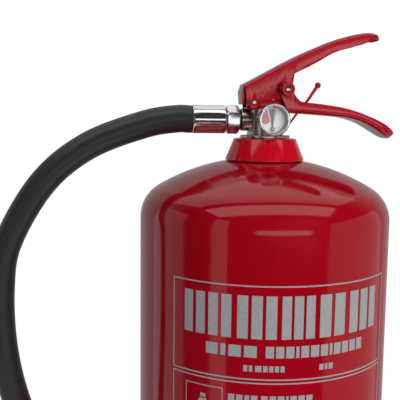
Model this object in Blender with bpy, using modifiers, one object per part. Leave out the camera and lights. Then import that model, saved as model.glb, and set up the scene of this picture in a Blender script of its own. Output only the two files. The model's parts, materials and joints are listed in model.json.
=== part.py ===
"""Nine litre stored-pressure water fire extinguisher.

Metres, +Z up. The origin is the centre of the foot. +X is the side the
levers point to, -X the side the hose leaves on, -Y the front with the gauge.
"""
import math

import bmesh
import bpy
from mathutils import Matrix, Vector

# ---- driving dimensions, metres -------------------------------------------
GAP = 0.0003                 # clearance between pieces that touch

BODY_RADIUS = 0.090          # outside radius of the steel cylinder
SHOULDER_Z = 0.4919          # top of the straight wall
SHELL_WALL = 0.0015
CROWN_RADIUS = 0.1518        # radius of the dome's crown
KNUCKLE_RADIUS = 0.0259      # radius between dome and wall
SHELL_FOOT_Z = 0.034         # lower edge of the shell
BOTTOM_DEPTH = 0.027         # depth of the dished lower end
BOTTOM_SKIRT = 0.018         # lap of the lower end inside the shell
BOOT_WALL = 0.0022
BOOT_FLOOR = 0.0030
BOOT_HEIGHT = 0.046
BOOT_EDGE = 0.003              # rounding of the boot's lower edge
SHELL_SEGMENTS = 40            # facets of the shell and of what fits to its wall

NECK_RADIUS = 0.0195         # outside of the welded neck ring
NECK_BORE = 0.0150
NECK_DEPTH = 0.0100          # how far the neck ring reaches inside the dome
COLLAR_TOP_RADIUS = 0.0223
COLLAR_FOOT_RADIUS = 0.0286
COLLAR_HEIGHT = 0.0155
COLLAR_WALL = 0.0015
COLLAR_LIFT = 0.0009         # space between collar and dome
SEAL_THICKNESS = 0.0014

FLANGE_RADIUS = 0.0180       # valve flange on the collar
FLANGE_THICKNESS = 0.0020
OUTLET_HEIGHT = 0.0130       # outlet axis above the flange's underside
BARREL_RADIUS = 0.0130
BARREL_RISE = 0.0067         # barrel top above the outlet axis
PLUG_LENGTH = 0.0373         # threaded plug below the flange
CHAMBER_RADIUS = 0.0075
CHAMBER_WALL = 0.0025
PLUG_STEP = 0.026              # length of the plug's wide upper end
STEM_GUIDE = 0.0018            # length of the spindle's guide
SEAT_DROP = 0.0063           # seat below the outlet axis
THROAT_RADIUS = 0.0050
STEM_RADIUS = 0.0030
STEM_HEAD_RADIUS = 0.0035
STEM_DISC_RADIUS = 0.0064
STEM_DISC_THICKNESS = 0.0015
RETAINER_LENGTH = 0.0090
RETAINER_DROP = 0.0230       # retainer top below the seat
RETAINER_BORE = 0.0040
SPRING_RADIUS = 0.0048
SPRING_WIRE = 0.0006
SPRING_TURNS = 4
TUBE_WALL = 0.0010
TUBE_FOOT_Z = 0.030          # lower end of the dip tube
STRAINER_RADIUS = 0.0095
STRAINER_FOOT_Z = 0.014
STRAINER_TOP_Z = 0.050
STRAINER_FLOOR = 0.0015
STRAINER_SLOT = 0.003          # width of a slot
STRAINER_END = 0.0025          # wall left above and below a slot

BOSS_RADIUS = 0.0080         # outlet boss
BOSS_FACE_X = -0.0160
TAIL_RADIUS = 0.0050         # hose tail
TAIL_BORE = 0.0035
WASHER_RADIUS = 0.0079
WASHER_LENGTH = 0.0018
ORING_RADIUS = 0.0074
ORING_LENGTH = 0.0011
NUT_FLATS = 0.0178           # across flats
NUT_LENGTH = 0.0086
NUT_CHAMFER = 0.0009
FERRULE_RADIUS = 0.0101
FERRULE_LENGTH = 0.0246
FERRULE_ROUND = 0.0016         # rounding of its shoulder
HOSE_RADIUS = 0.0098
NOZZLE_RADIUS = 0.0092
NOZZLE_TIP_RADIUS = 0.0058
NOZZLE_LENGTH = 0.082
NOZZLE_BORE = 0.0020
NOZZLE_RING_RADIUS = 0.0112
NOZZLE_RING_LENGTH = 0.0070
STRAP_THICKNESS = 0.0009
STRAP_HEIGHT = 0.016
CLIP_DROP = 0.032            # clip's middle below the nozzle's upper end
CLIP_WALL = 0.0020
CLIP_MOUTH = 105.0           # degrees that the clip is open

GAUGE_BOSS_RADIUS = 0.0065
GAUGE_BOSS_Y = -0.0165
GAUGE_FRONT_Y = -0.0320
GAUGE_RADIUS = 0.0110        # bezel
GAUGE_DEPTH = 0.0100
CASE_RADIUS = 0.0102
CASE_WALL = 0.0010
BEZEL_LIP_RADIUS = 0.0093
BEZEL_SKIRT = 0.0042
GAUGE_STEM_RADIUS = 0.0034
DIAL_THICKNESS = 0.0006
NEEDLE_DROP = 0.0063         # needle pivot below the gauge centre
NEEDLE_LENGTH = 0.0115
NEEDLE_PIVOT_RADIUS = 0.0012
LENS_THICKNESS = 0.0012

LEVER_HALF_WIDTH = 0.0115
LEVER_WALL = 0.0015
LEVER_BEND = 0.0028
HANDLE_HALF_WIDTH = 0.0137
HANDLE_WALL = 0.0016
HANDLE_BEND = 0.0030
BRACKET_HALF_WIDTH = 0.0086
BRACKET_BEND = 0.0022
PIVOT_X = -0.0104
PIVOT_RISE = 0.0123          # lever pivot above the outlet axis
PIVOT_RADIUS = 0.0016
PIN_X = 0.0115
PIN_RISE = 0.0215            # safety pin above the outlet axis
PIN_RADIUS = 0.0017
LEVER_TRAVEL = math.radians(9.0)
CAP_RADIUS = 0.0046
CAP_BORE = 0.0032
CAP_FRONT_Y = -0.0222
CAP_FLOOR = 0.0016
PIN_EYE_Y = 0.0205
PIN_EYE_RADIUS = 0.0030
PIN_EYE_HOLE = 0.0013
RING_RADIUS = 0.0100
RING_WIRE = 0.0007
SCREW_HEAD_RADIUS = 0.0020
SCREW_HEAD_HEIGHT = 0.0014
SCREW_RADIUS = 0.0013
SCREW_LENGTH = 0.0050
SCREW_X = 0.0065
SCREW_Y = 0.0043
SEAL_STICK_RADIUS = 0.0009
SEAL_BALL_RADIUS = 0.0023

# ---- heights that follow from them ----------------------------------------
CROWN_CENTRE_Z = SHOULDER_Z - math.sqrt(
    (CROWN_RADIUS - KNUCKLE_RADIUS) ** 2 - (BODY_RADIUS - KNUCKLE_RADIUS) ** 2)


def dome_z(radius):
    """Height of the dome's outside at a radius on the crown."""
    return CROWN_CENTRE_Z + math.sqrt(CROWN_RADIUS ** 2 - radius ** 2)


COLLAR_FOOT_Z = dome_z(COLLAR_FOOT_RADIUS) + COLLAR_LIFT
COLLAR_TOP_Z = COLLAR_FOOT_Z + COLLAR_HEIGHT
FLANGE_Z = COLLAR_TOP_Z + GAP
OUTLET_Z = FLANGE_Z + OUTLET_HEIGHT
BARREL_TOP_Z = OUTLET_Z + BARREL_RISE
SEAT_Z = OUTLET_Z - SEAT_DROP
PLUG_FOOT_Z = FLANGE_Z - PLUG_LENGTH
RETAINER_TOP_Z = SEAT_Z - RETAINER_DROP
NECK_TOP_Z = COLLAR_TOP_Z - COLLAR_WALL - 2 * GAP - SEAL_THICKNESS
PIVOT_Z = OUTLET_Z + PIVOT_RISE
PIN_Z = OUTLET_Z + PIN_RISE
# The lever's and handle's outlines are drawn in millimetres from this level.
HEAD_Z = OUTLET_Z + 0.0027
STEM_HEAD_Z = PIVOT_Z + 0.0144

BOSS_ROOT = THROAT_RADIUS + 0.002
TAIL_HOLE = TAIL_RADIUS + GAP
PIVOT_HOLE = PIVOT_RADIUS + GAP
PIN_HOLE = PIN_RADIUS + GAP

PARTS = None
CUTTERS = None


# ---- making objects -------------------------------------------------------
def start_scene():
    """Empty the scene and make the two collections."""
    global PARTS, CUTTERS
    for old in list(bpy.data.objects):
        bpy.data.objects.remove(old, do_unlink=True)
    PARTS = bpy.data.collections.new("fire_extinguisher")
    CUTTERS = bpy.data.collections.new("cutters")
    bpy.context.scene.collection.children.link(PARTS)
    bpy.context.scene.collection.children.link(CUTTERS)


def paint(obj, colour, roughness, metallic=0.0):
    """Give an object its own Principled material."""
    material = bpy.data.materials.new(obj.name)
    material.use_nodes = True
    shader = material.node_tree.nodes["Principled BSDF"]
    shader.inputs["Base Color"].default_value = (*colour, 1.0)
    shader.inputs["Roughness"].default_value = roughness
    shader.inputs["Metallic"].default_value = metallic
    obj.data.materials.clear()
    obj.data.materials.append(material)


def add_object(name, data, cutter=False):
    obj = bpy.data.objects.new(name, data)
    if cutter:
        CUTTERS.objects.link(obj)
        obj.hide_render = True
        obj.display_type = "WIRE"
    else:
        PARTS.objects.link(obj)
    return obj


def turned(name, profile, segments=32, at=(0, 0, 0), axis="Z", cutter=False):
    """Turn a closed (radius, height) profile that runs down its outer side."""
    mesh = bpy.data.meshes.new(name)
    count = len(profile)
    edges = []
    for index in range(count):
        after = (index + 1) % count
        if profile[index][0] > 0 or profile[after][0] > 0:
            edges.append((index, after))
    mesh.from_pydata([(r, 0, z) for r, z in profile], edges, [])
    obj = add_object(name, mesh, cutter)
    obj.location = at
    turns = {"Z": (0, 0, 0), "X": (0, math.pi / 2, 0), "-X": (0, -math.pi / 2, 0),
             "Y": (-math.pi / 2, 0, 0), "-Y": (math.pi / 2, 0, 0)}
    obj.rotation_euler = turns[axis]
    screw = obj.modifiers.new("Turn", "SCREW")
    screw.axis = "Z"
    screw.angle = 2 * math.pi
    screw.steps = segments
    screw.render_steps = segments
    screw.use_merge_vertices = True
    screw.merge_threshold = 0.00005
    screw.use_smooth_shade = False
    return obj


def rod(name, radius, length, segments=24, at=(0, 0, 0), axis="Z", cutter=False):
    """Plain round bar that starts at a point and runs along an axis."""
    profile = [(0, length), (radius, length), (radius, 0), (0, 0)]
    return turned(name, profile, segments, at, axis, cutter)


def tube(name, outer, inner, length, segments=24, at=(0, 0, 0), axis="Z", cutter=False):
    """Plain sleeve that starts at a point and runs along an axis."""
    profile = [(outer, length), (outer, 0), (inner, 0), (inner, length)]
    return turned(name, profile, segments, at, axis, cutter)


def boolean(obj, other, operation="DIFFERENCE", solver="EXACT"):
    modifier = obj.modifiers.new(operation.title(), "BOOLEAN")
    modifier.operation = operation
    modifier.solver = solver
    modifier.object = other


def mesh_from_curve(obj, cutter=False):
    """Replace a curve object by a welded mesh object of the same name."""
    name = obj.name
    bpy.context.view_layer.update()
    evaluated = obj.evaluated_get(bpy.context.evaluated_depsgraph_get())
    mesh = bpy.data.meshes.new_from_object(evaluated)
    welded = bmesh.new()
    welded.from_mesh(mesh)
    bmesh.ops.remove_doubles(welded, verts=welded.verts, dist=0.00001)
    welded.to_mesh(mesh)
    welded.free()
    matrix = obj.matrix_world.copy()
    bpy.data.objects.remove(obj, do_unlink=True)
    result = add_object(name, mesh, cutter)
    result.matrix_world = matrix
    return result


def wire(name, points, radius, resolution=2, radii=None, closed=False):
    """Round wire or tube along points."""
    curve = bpy.data.curves.new(name, "CURVE")
    curve.dimensions = "3D"
    curve.bevel_depth = radius
    curve.bevel_resolution = resolution
    curve.use_fill_caps = not closed
    spline = curve.splines.new("POLY")
    spline.points.add(len(points) - 1)
    for index, point in enumerate(points):
        spline.points[index].co = (*point, 1.0)
        spline.points[index].radius = radii[index] if radii else 1.0
    spline.use_cyclic_u = closed
    return add_object(name, curve)


def plate(name, outlines, thickness, at=(0, 0, 0), upright=True, cutter=False):
    """Flat plate from closed outlines, the first the rim and the rest holes.

    An upright plate's outline is in X and Z, and its thickness is along Y.
    """
    curve = bpy.data.curves.new(name, "CURVE")
    curve.dimensions = "2D"
    curve.fill_mode = "BOTH"
    curve.extrude = thickness / 2
    for outline in outlines:
        spline = curve.splines.new("POLY")
        spline.points.add(len(outline) - 1)
        for index, (across, along) in enumerate(outline):
            spline.points[index].co = (across, along, 0, 1)
        spline.use_cyclic_u = True
    obj = add_object(name, curve, cutter)
    obj.location = at
    if upright:
        obj.rotation_euler = (math.pi / 2, 0, 0)
    return mesh_from_curve(obj, cutter)


def arc(centre, radius, start, end, count):
    """Points on an arc, angles in degrees."""
    points = []
    for index in range(count + 1):
        angle = math.radians(start + (end - start) * index / count)
        points.append((centre[0] + radius * math.cos(angle), centre[1] + radius * math.sin(angle)))
    return points


def smooth_route(route, spacing):
    """Evenly spaced points on a Catmull-Rom curve through route points."""
    knots = [Vector(point) for point in route]
    knots = [2 * knots[0] - knots[1]] + knots + [2 * knots[-1] - knots[-2]]
    fine = []
    for index in range(1, len(knots) - 2):
        a, b, c, d = knots[index - 1:index + 3]
        for step in range(24):
            t = step / 24
            fine.append(0.5 * (2 * b + (c - a) * t + (2 * a - 5 * b + 4 * c - d) * t ** 2
                               + (3 * b - a - 3 * c + d) * t ** 3))
    fine.append(knots[-2])
    lengths = [0.0]
    for before, after in zip(fine, fine[1:]):
        lengths.append(lengths[-1] + (after - before).length)
    count = round(lengths[-1] / spacing)
    points = []
    place = 0
    for index in range(count):
        target = lengths[-1] * index / count
        while lengths[place + 1] < target:
            place += 1
        share = (target - lengths[place]) / (lengths[place + 1] - lengths[place])
        points.append(fine[place].lerp(fine[place + 1], share))
    points.append(fine[-1])
    return points


# ---- bent sheet channels --------------------------------------------------
def channel_section(half_width, wall, bend, depth, steps=2):
    """Closed (across, depth) outline of a U: its web is at depth 0."""
    inner = bend - wall
    half = [(half_width, depth)]
    for index in range(steps + 1):
        angle = math.pi / 2 * index / steps
        half.append((half_width - bend + bend * math.cos(angle), bend - bend * math.sin(angle)))
    outer = half + [(-across, down) for across, down in reversed(half)]
    half = [(half_width - wall, depth)]
    for index in range(steps + 1):
        angle = math.pi / 2 * index / steps
        half.append((half_width - bend + inner * math.cos(angle), bend - inner * math.sin(angle)))
    return outer + [(-across, down) for across, down in half] + list(reversed(half))


def channel(name, stations, wall, bend, cutter=False):
    """Bent channel lofted through stations.

    A station is (web x, web z, edge x, edge z, half width) in millimetres from
    the head level: a point of the web's outer face, and the flange edge there.
    """
    webs = [Vector((s[0], s[1])) for s in stations]
    rings = []
    for index, (web_x, web_z, edge_x, edge_z, half_width) in enumerate(stations):
        ahead = webs[min(index + 1, len(webs) - 1)] - webs[max(index - 1, 0)]
        down = Vector((edge_x - web_x, edge_z - web_z))
        depth = down.length
        down.normalize()
        ahead.normalize()
        slant = abs(ahead.x * down.y - ahead.y * down.x)
        section = channel_section(half_width, wall * 1000, bend * 1000, depth * slant)
        ring = []
        for across, deep in section:
            x = web_x + down.x * deep / slant
            z = web_z + down.y * deep / slant
            ring.append((x / 1000, across / 1000, HEAD_Z + z / 1000))
        rings.append(ring)
    size = len(rings[0])
    faces = [tuple(range(size)), tuple(range(len(rings) * size - 1, (len(rings) - 1) * size - 1, -1))]
    for station in range(len(rings) - 1):
        for index in range(size):
            after = (index + 1) % size
            low = station * size
            faces.append((low + index, low + size + index, low + size + after, low + after))
    mesh = bpy.data.meshes.new(name)
    mesh.from_pydata([point for ring in rings for point in ring], [], faces)
    fixed = bmesh.new()
    fixed.from_mesh(mesh)
    bmesh.ops.recalc_face_normals(fixed, faces=fixed.faces)
    fixed.to_mesh(mesh)
    fixed.free()
    return add_object(name, mesh, cutter)


# ---- vessel ---------------------------------------------------------------
def dome_outline(inset, neck_radius):
    """Profile of the domed shell, from the neck down, moved in by inset."""
    crown = CROWN_RADIUS - inset
    knuckle = KNUCKLE_RADIUS - inset
    knuckle_x = BODY_RADIUS - KNUCKLE_RADIUS
    tangent = math.atan2(SHOULDER_Z - CROWN_CENTRE_Z, knuckle_x)
    points = []
    start = math.acos(neck_radius / crown)
    for index in range(7):
        angle = start + (tangent - start) * index / 6
        points.append((crown * math.cos(angle), CROWN_CENTRE_Z + crown * math.sin(angle)))
    for index in range(1, 5):
        angle = tangent * (1 - index / 4)
        points.append((knuckle_x + knuckle * math.cos(angle), SHOULDER_Z + knuckle * math.sin(angle)))
    points.append((BODY_RADIUS - inset, SHELL_FOOT_Z))
    return points


def bottom_outline(inset):
    """Profile of the dished lower end, from its skirt's top down."""
    radius = BODY_RADIUS - SHELL_WALL - GAP - inset
    points = [(radius, SHELL_FOOT_Z + BOTTOM_SKIRT)]
    for index in range(6):
        angle = math.pi / 2 * index / 5
        points.append((radius * math.cos(angle),
                       SHELL_FOOT_Z - (BOTTOM_DEPTH - inset) * math.sin(angle)))
    points[-1] = (0, points[-1][1])
    return points


def make_vessel():
    opening = NECK_RADIUS + GAP
    outside = dome_outline(0, opening)
    inside = dome_outline(SHELL_WALL, opening)
    shell = turned("cylinder_shell", outside + inside[::-1], SHELL_SEGMENTS)
    paint(shell, (0.62, 0.008, 0.018), 0.16)

    outside = bottom_outline(0)
    inside = bottom_outline(SHELL_WALL)
    dish = turned("bottom_dome", outside + inside[::-1], SHELL_SEGMENTS)
    paint(dish, (0.62, 0.008, 0.018), 0.3)

    foot = dome_z(NECK_RADIUS) - NECK_DEPTH
    ring = tube("neck_ring", NECK_RADIUS, NECK_BORE, NECK_TOP_Z - foot, 24, (0, 0, foot))
    paint(ring, (0.5, 0.5, 0.52), 0.35, 1.0)

    inner = BODY_RADIUS + GAP
    outer = inner + BOOT_WALL
    profile = [(outer - BOOT_EDGE / 3, BOOT_HEIGHT), (outer, BOOT_HEIGHT - BOOT_EDGE / 3), (outer, BOOT_EDGE),
               (outer - BOOT_EDGE, 0), (0, 0), (0, BOOT_FLOOR), (inner, BOOT_FLOOR), (inner, BOOT_HEIGHT)]
    boot = turned("base_boot", profile, SHELL_SEGMENTS)
    paint(boot, (0.02, 0.02, 0.02), 0.5)


# ---- valve ----------------------------------------------------------------
def make_collar():
    top = COLLAR_TOP_RADIUS
    foot = COLLAR_FOOT_RADIUS
    hole = NECK_BORE + GAP
    profile = [(hole, COLLAR_TOP_Z), (top - 0.001, COLLAR_TOP_Z), (top, COLLAR_TOP_Z - 0.001),
               (foot, COLLAR_FOOT_Z), (foot - COLLAR_WALL, COLLAR_FOOT_Z),
               (top - COLLAR_WALL, COLLAR_TOP_Z - COLLAR_WALL), (hole, COLLAR_TOP_Z - COLLAR_WALL)]
    collar = turned("neck_collar", profile, 28)
    paint(collar, (0.7, 0.01, 0.015), 0.15)

    seal = tube("neck_seal", FLANGE_RADIUS - GAP, NECK_BORE + GAP, SEAL_THICKNESS, 24,
                (0, 0, NECK_TOP_Z + GAP))
    paint(seal, (0.02, 0.02, 0.02), 0.7)


def make_valve_body():
    flange_top = FLANGE_Z + FLANGE_THICKNESS
    neck = NECK_BORE - GAP
    narrow = CHAMBER_RADIUS + CHAMBER_WALL
    step_z = FLANGE_Z - PLUG_STEP
    stem_hole = STEM_RADIUS + GAP
    stem_guide_z = BARREL_TOP_Z - STEM_GUIDE
    profile = [(stem_hole, BARREL_TOP_Z), (BARREL_RADIUS - 0.0006, BARREL_TOP_Z),
               (BARREL_RADIUS, BARREL_TOP_Z - 0.0006), (BARREL_RADIUS, flange_top),
               (FLANGE_RADIUS - 0.0005, flange_top), (FLANGE_RADIUS, flange_top - 0.0005),
               (FLANGE_RADIUS, FLANGE_Z), (neck, FLANGE_Z), (neck, step_z), (narrow, step_z),
               (narrow, PLUG_FOOT_Z), (CHAMBER_RADIUS, PLUG_FOOT_Z), (CHAMBER_RADIUS, SEAT_Z),
               (THROAT_RADIUS, SEAT_Z), (THROAT_RADIUS, stem_guide_z), (stem_hole, stem_guide_z)]
    body = turned("valve_body", profile, 24)
    outlet = rod("outlet_boss", BOSS_RADIUS, -BOSS_FACE_X - BOSS_ROOT, 23,
                 (-BOSS_ROOT, 0, OUTLET_Z), "-X", True)
    boolean(body, outlet, "UNION", "MANIFOLD")
    gauge = rod("gauge_boss", GAUGE_BOSS_RADIUS, -GAUGE_BOSS_Y - BOSS_ROOT, 19,
                (0, -BOSS_ROOT, OUTLET_Z), "-Y", True)
    boolean(body, gauge, "UNION", "MANIFOLD")
    cutters = [
        rod("outlet_bore", TAIL_HOLE, 0.030, 17, (-0.0085, 0, OUTLET_Z), "-X", True),
        rod("outlet_way", TAIL_BORE, 0.0100, 13, (0, 0, OUTLET_Z), "-X", True),
        rod("gauge_bore", GAUGE_STEM_RADIUS + GAP, 0.030, 15, (0, -0.0095, OUTLET_Z), "-Y", True),
        rod("gauge_way", 0.0015, 0.0110, 9, (0, 0, OUTLET_Z), "-Y", True)]
    for index, y in enumerate((-SCREW_Y, SCREW_Y)):
        cutters.append(rod(f"screw_hole_{index}", SCREW_RADIUS + GAP, SCREW_LENGTH + 0.002, 8,
                           (SCREW_X, y, BARREL_TOP_Z - SCREW_LENGTH), "Z", True))
    for cutter in cutters:
        boolean(body, cutter, "DIFFERENCE", "MANIFOLD")
    paint(body, (0.62, 0.58, 0.53), 0.22, 1.0)


def make_stem():
    disc_top = SEAT_Z - 2 * GAP - 0.0012
    disc_foot = disc_top - STEM_DISC_THICKNESS
    profile = []
    for index in range(5):
        angle = math.pi / 2 * (1 - index / 4)
        profile.append((STEM_HEAD_RADIUS * math.cos(angle),
                        STEM_HEAD_Z + STEM_HEAD_RADIUS * math.sin(angle)))
    profile[0] = (0, profile[0][1])
    head_foot = STEM_HEAD_Z - 0.002
    profile += [(STEM_HEAD_RADIUS, head_foot), (STEM_RADIUS, head_foot), (STEM_RADIUS, disc_top),
                (STEM_DISC_RADIUS, disc_top), (STEM_DISC_RADIUS, disc_foot),
                (STEM_RADIUS - 0.0005, disc_foot), (STEM_RADIUS - 0.0005, disc_foot - 0.005),
                (0, disc_foot - 0.005)]
    stem = turned("spindle", profile, 14)
    paint(stem, (0.75, 0.62, 0.36), 0.3, 1.0)

    seal = tube("spindle_seal", STEM_DISC_RADIUS, STEM_RADIUS + GAP, 0.0012, 24,
                (0, 0, disc_top + GAP))
    paint(seal, (0.02, 0.02, 0.02), 0.7)

    low = RETAINER_TOP_Z + SPRING_WIRE + GAP
    high = disc_foot - SPRING_WIRE - GAP
    points = []
    count = SPRING_TURNS * 8
    for index in range(count + 1):
        angle = 2 * math.pi * SPRING_TURNS * index / count
        points.append((SPRING_RADIUS * math.cos(angle), SPRING_RADIUS * math.sin(angle),
                       low + (high - low) * index / count))
    spring = wire("spindle_spring", points, SPRING_WIRE)
    paint(spring, (0.6, 0.6, 0.62), 0.3, 1.0)

    retainer = tube("spring_retainer", CHAMBER_RADIUS - GAP, RETAINER_BORE, RETAINER_LENGTH, 24,
                    (0, 0, RETAINER_TOP_Z - RETAINER_LENGTH))
    paint(retainer, (0.75, 0.62, 0.36), 0.35, 1.0)


def make_siphon():
    top = RETAINER_TOP_Z - RETAINER_LENGTH - GAP
    radius = CHAMBER_RADIUS - GAP
    pipe = tube("siphon_tube", radius, radius - TUBE_WALL, top - TUBE_FOOT_Z, 20,
                (0, 0, TUBE_FOOT_Z))
    paint(pipe, (0.8, 0.8, 0.78), 0.5)

    inner = radius + GAP
    shelf = TUBE_FOOT_Z - GAP
    profile = [(STRAINER_RADIUS, STRAINER_TOP_Z), (STRAINER_RADIUS, STRAINER_FOOT_Z),
               (0, STRAINER_FOOT_Z), (0, STRAINER_FOOT_Z + STRAINER_FLOOR),
               (radius - TUBE_WALL, STRAINER_FOOT_Z + STRAINER_FLOOR), (radius - TUBE_WALL, shelf),
               (inner, shelf), (inner, STRAINER_TOP_Z)]
    strainer = turned("siphon_strainer", profile, 16)
    slot_z = (STRAINER_FOOT_Z + STRAINER_FLOOR + shelf) / 2
    slot_height = shelf - STRAINER_FOOT_Z - 2 * STRAINER_END
    for index in range(2):
        bpy.ops.mesh.primitive_cube_add(size=1)
        slot = bpy.context.object
        slot.name = f"strainer_slot_{index}"
        slot.data.transform(Matrix.Diagonal((STRAINER_SLOT, 3 * STRAINER_RADIUS, slot_height, 1)))
        slot.location = (0, 0, slot_z)
        slot.rotation_euler = (0, 0, math.pi / 2 * index)
        for collection in list(slot.users_collection):
            collection.objects.unlink(slot)
        CUTTERS.objects.link(slot)
        slot.hide_render = True
        slot.display_type = "WIRE"
        boolean(strainer, slot)
    paint(strainer, (0.1, 0.1, 0.11), 0.5)


# ---- hose side ------------------------------------------------------------
def make_outlet():
    x = BOSS_FACE_X - GAP
    washer = tube("outlet_washer", WASHER_RADIUS, TAIL_HOLE, WASHER_LENGTH, 20,
                  (x, 0, OUTLET_Z), "-X")
    paint(washer, (0.75, 0.75, 0.76), 0.15, 1.0)
    x -= WASHER_LENGTH + GAP

    half = ORING_LENGTH / 2
    edge = ORING_RADIUS - half / 2
    profile = [(edge, ORING_LENGTH), (ORING_RADIUS, half * 1.4), (ORING_RADIUS, half * 0.6),
               (edge, 0), (TAIL_HOLE, 0), (TAIL_HOLE, ORING_LENGTH)]
    oring = turned("outlet_oring", profile, 20, (x, 0, OUTLET_Z), "-X")
    paint(oring, (0.02, 0.02, 0.02), 0.5)
    x -= ORING_LENGTH + GAP

    corner = NUT_FLATS / math.sqrt(3)
    hexagon = [(corner * math.cos(math.radians(60 * k)), corner * math.sin(math.radians(60 * k)))
               for k in range(6)]
    bore = arc((0, 0), TAIL_HOLE, 0, 337.5, 15)
    nut = plate("hose_nut", [hexagon, bore], NUT_LENGTH, (x - NUT_LENGTH / 2, 0, OUTLET_Z), False)
    nut.rotation_euler = (0, math.pi / 2, 0)
    rim = NUT_FLATS / 2 + 0.0001
    wide = corner + 0.001
    profile = [(wide, NUT_LENGTH + 0.001), (wide, -0.001), (rim, -0.001), (rim, 0),
               (corner, NUT_CHAMFER), (corner + 0.0005, NUT_LENGTH / 2), (corner, NUT_LENGTH - NUT_CHAMFER),
               (rim, NUT_LENGTH), (rim, NUT_LENGTH + 0.001)]
    boolean(nut, turned("nut_chamfer", profile, 24, (x, 0, OUTLET_Z), "-X", True))
    paint(nut, (0.8, 0.8, 0.81), 0.12, 1.0)
    x -= NUT_LENGTH + GAP

    ferrule_x = x
    profile = [(FERRULE_RADIUS - 0.0003, FERRULE_LENGTH), (FERRULE_RADIUS, FERRULE_LENGTH - 0.0003),
               (FERRULE_RADIUS, FERRULE_ROUND), (FERRULE_RADIUS - FERRULE_ROUND * 0.3, FERRULE_ROUND * 0.3),
               (FERRULE_RADIUS - FERRULE_ROUND, 0), (TAIL_HOLE, 0), (TAIL_HOLE, FERRULE_LENGTH)]
    ferrule = turned("hose_ferrule", profile, 24, (ferrule_x, 0, OUTLET_Z), "-X")
    paint(ferrule, (0.85, 0.85, 0.86), 0.08, 1.0)
    x -= FERRULE_LENGTH

    tail_start = -0.0088
    tail = tube("hose_tail", TAIL_RADIUS, TAIL_BORE, tail_start - x - GAP, 24,
                (tail_start, 0, OUTLET_Z), "-X")
    paint(tail, (0.75, 0.62, 0.36), 0.3, 1.0)
    return x - GAP


def hose_route(start_x):
    """The hose's middle line, chosen by hand, in the plane of the levers."""
    drop = [(0, 0), (-0.012, 0), (-0.035, -0.0044), (-0.0739, -0.0198), (-0.1053, -0.0459),
            (-0.1298, -0.0877), (-0.1358, -0.1225), (-0.1345, -0.1649), (-0.1264, -0.2047),
            (-0.1114, -0.2418), (-0.0914, -0.2764), (-0.0714, -0.3111), (-0.0585, -0.3434),
            (-0.0535, -0.3781), (-0.0535, -0.3900)]
    return [(start_x + x, 0, OUTLET_Z + z) for x, z in drop]


def make_hose(start_x):
    route = hose_route(start_x)
    points = smooth_route(route, 2 * HOSE_RADIUS)
    # short straight ends keep the hose's faces square to its fittings
    points.insert(1, points[0] + Vector((-HOSE_RADIUS / 4, 0, 0)))
    points.insert(-1, points[-1] + Vector((0, 0, HOSE_RADIUS / 4)))
    hose = wire("hose", points, HOSE_RADIUS, 3)
    paint(hose, (0.02, 0.02, 0.02), 0.45)

    end_x, _, end_z = route[-1]
    top = end_z - GAP
    tip = top - NOZZLE_LENGTH
    profile = [(HOSE_RADIUS - 0.001, top), (HOSE_RADIUS - 0.001, top - 0.022),
               (NOZZLE_RADIUS, top - 0.024), (NOZZLE_RADIUS, top - 0.044),
               (NOZZLE_TIP_RADIUS, tip + 0.014), (NOZZLE_TIP_RADIUS + 0.001, tip + 0.011),
               (NOZZLE_TIP_RADIUS + 0.001, tip), (NOZZLE_BORE, tip), (NOZZLE_BORE, tip + 0.020),
               (TAIL_BORE + 0.001, top - 0.010), (TAIL_BORE + 0.001, top)]
    nozzle = turned("nozzle", profile, 16, (end_x, 0, 0))
    paint(nozzle, (0.02, 0.02, 0.02), 0.35)

    ring = tube("nozzle_ring", NOZZLE_RING_RADIUS, HOSE_RADIUS - 0.001 + GAP, NOZZLE_RING_LENGTH,
                20, (end_x, 0, top - 0.006 - NOZZLE_RING_LENGTH))
    paint(ring, (0.8, 0.8, 0.81), 0.2, 1.0)

    strap_z = top - CLIP_DROP
    inner = BODY_RADIUS + GAP
    strap = tube("hose_strap", inner + STRAP_THICKNESS, inner, STRAP_HEIGHT, 40,
                 (0, 0, strap_z - STRAP_HEIGHT / 2))
    paint(strap, (0.02, 0.02, 0.02), 0.6)

    hold = NOZZLE_RADIUS + GAP
    rim = hold + CLIP_WALL
    half_mouth = CLIP_MOUTH / 2
    foot_x = -(inner + STRAP_THICKNESS + GAP + 0.0002)
    foot_half = 0.0050
    lean = math.degrees(math.asin(foot_half / rim))
    outline = [(foot_x, foot_half)]
    outline += arc((end_x, 0), rim, lean, 180 - half_mouth, 12)
    outline += arc((end_x, 0), hold, 180 - half_mouth, -180 + half_mouth, 20)
    outline += arc((end_x, 0), rim, -180 + half_mouth, -lean, 12)
    outline += [(foot_x, -foot_half)]
    clip = plate("nozzle_clip", [outline], STRAP_HEIGHT - 0.002, (0, 0, strap_z), False)
    paint(clip, (0.02, 0.02, 0.02), 0.45)


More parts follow.
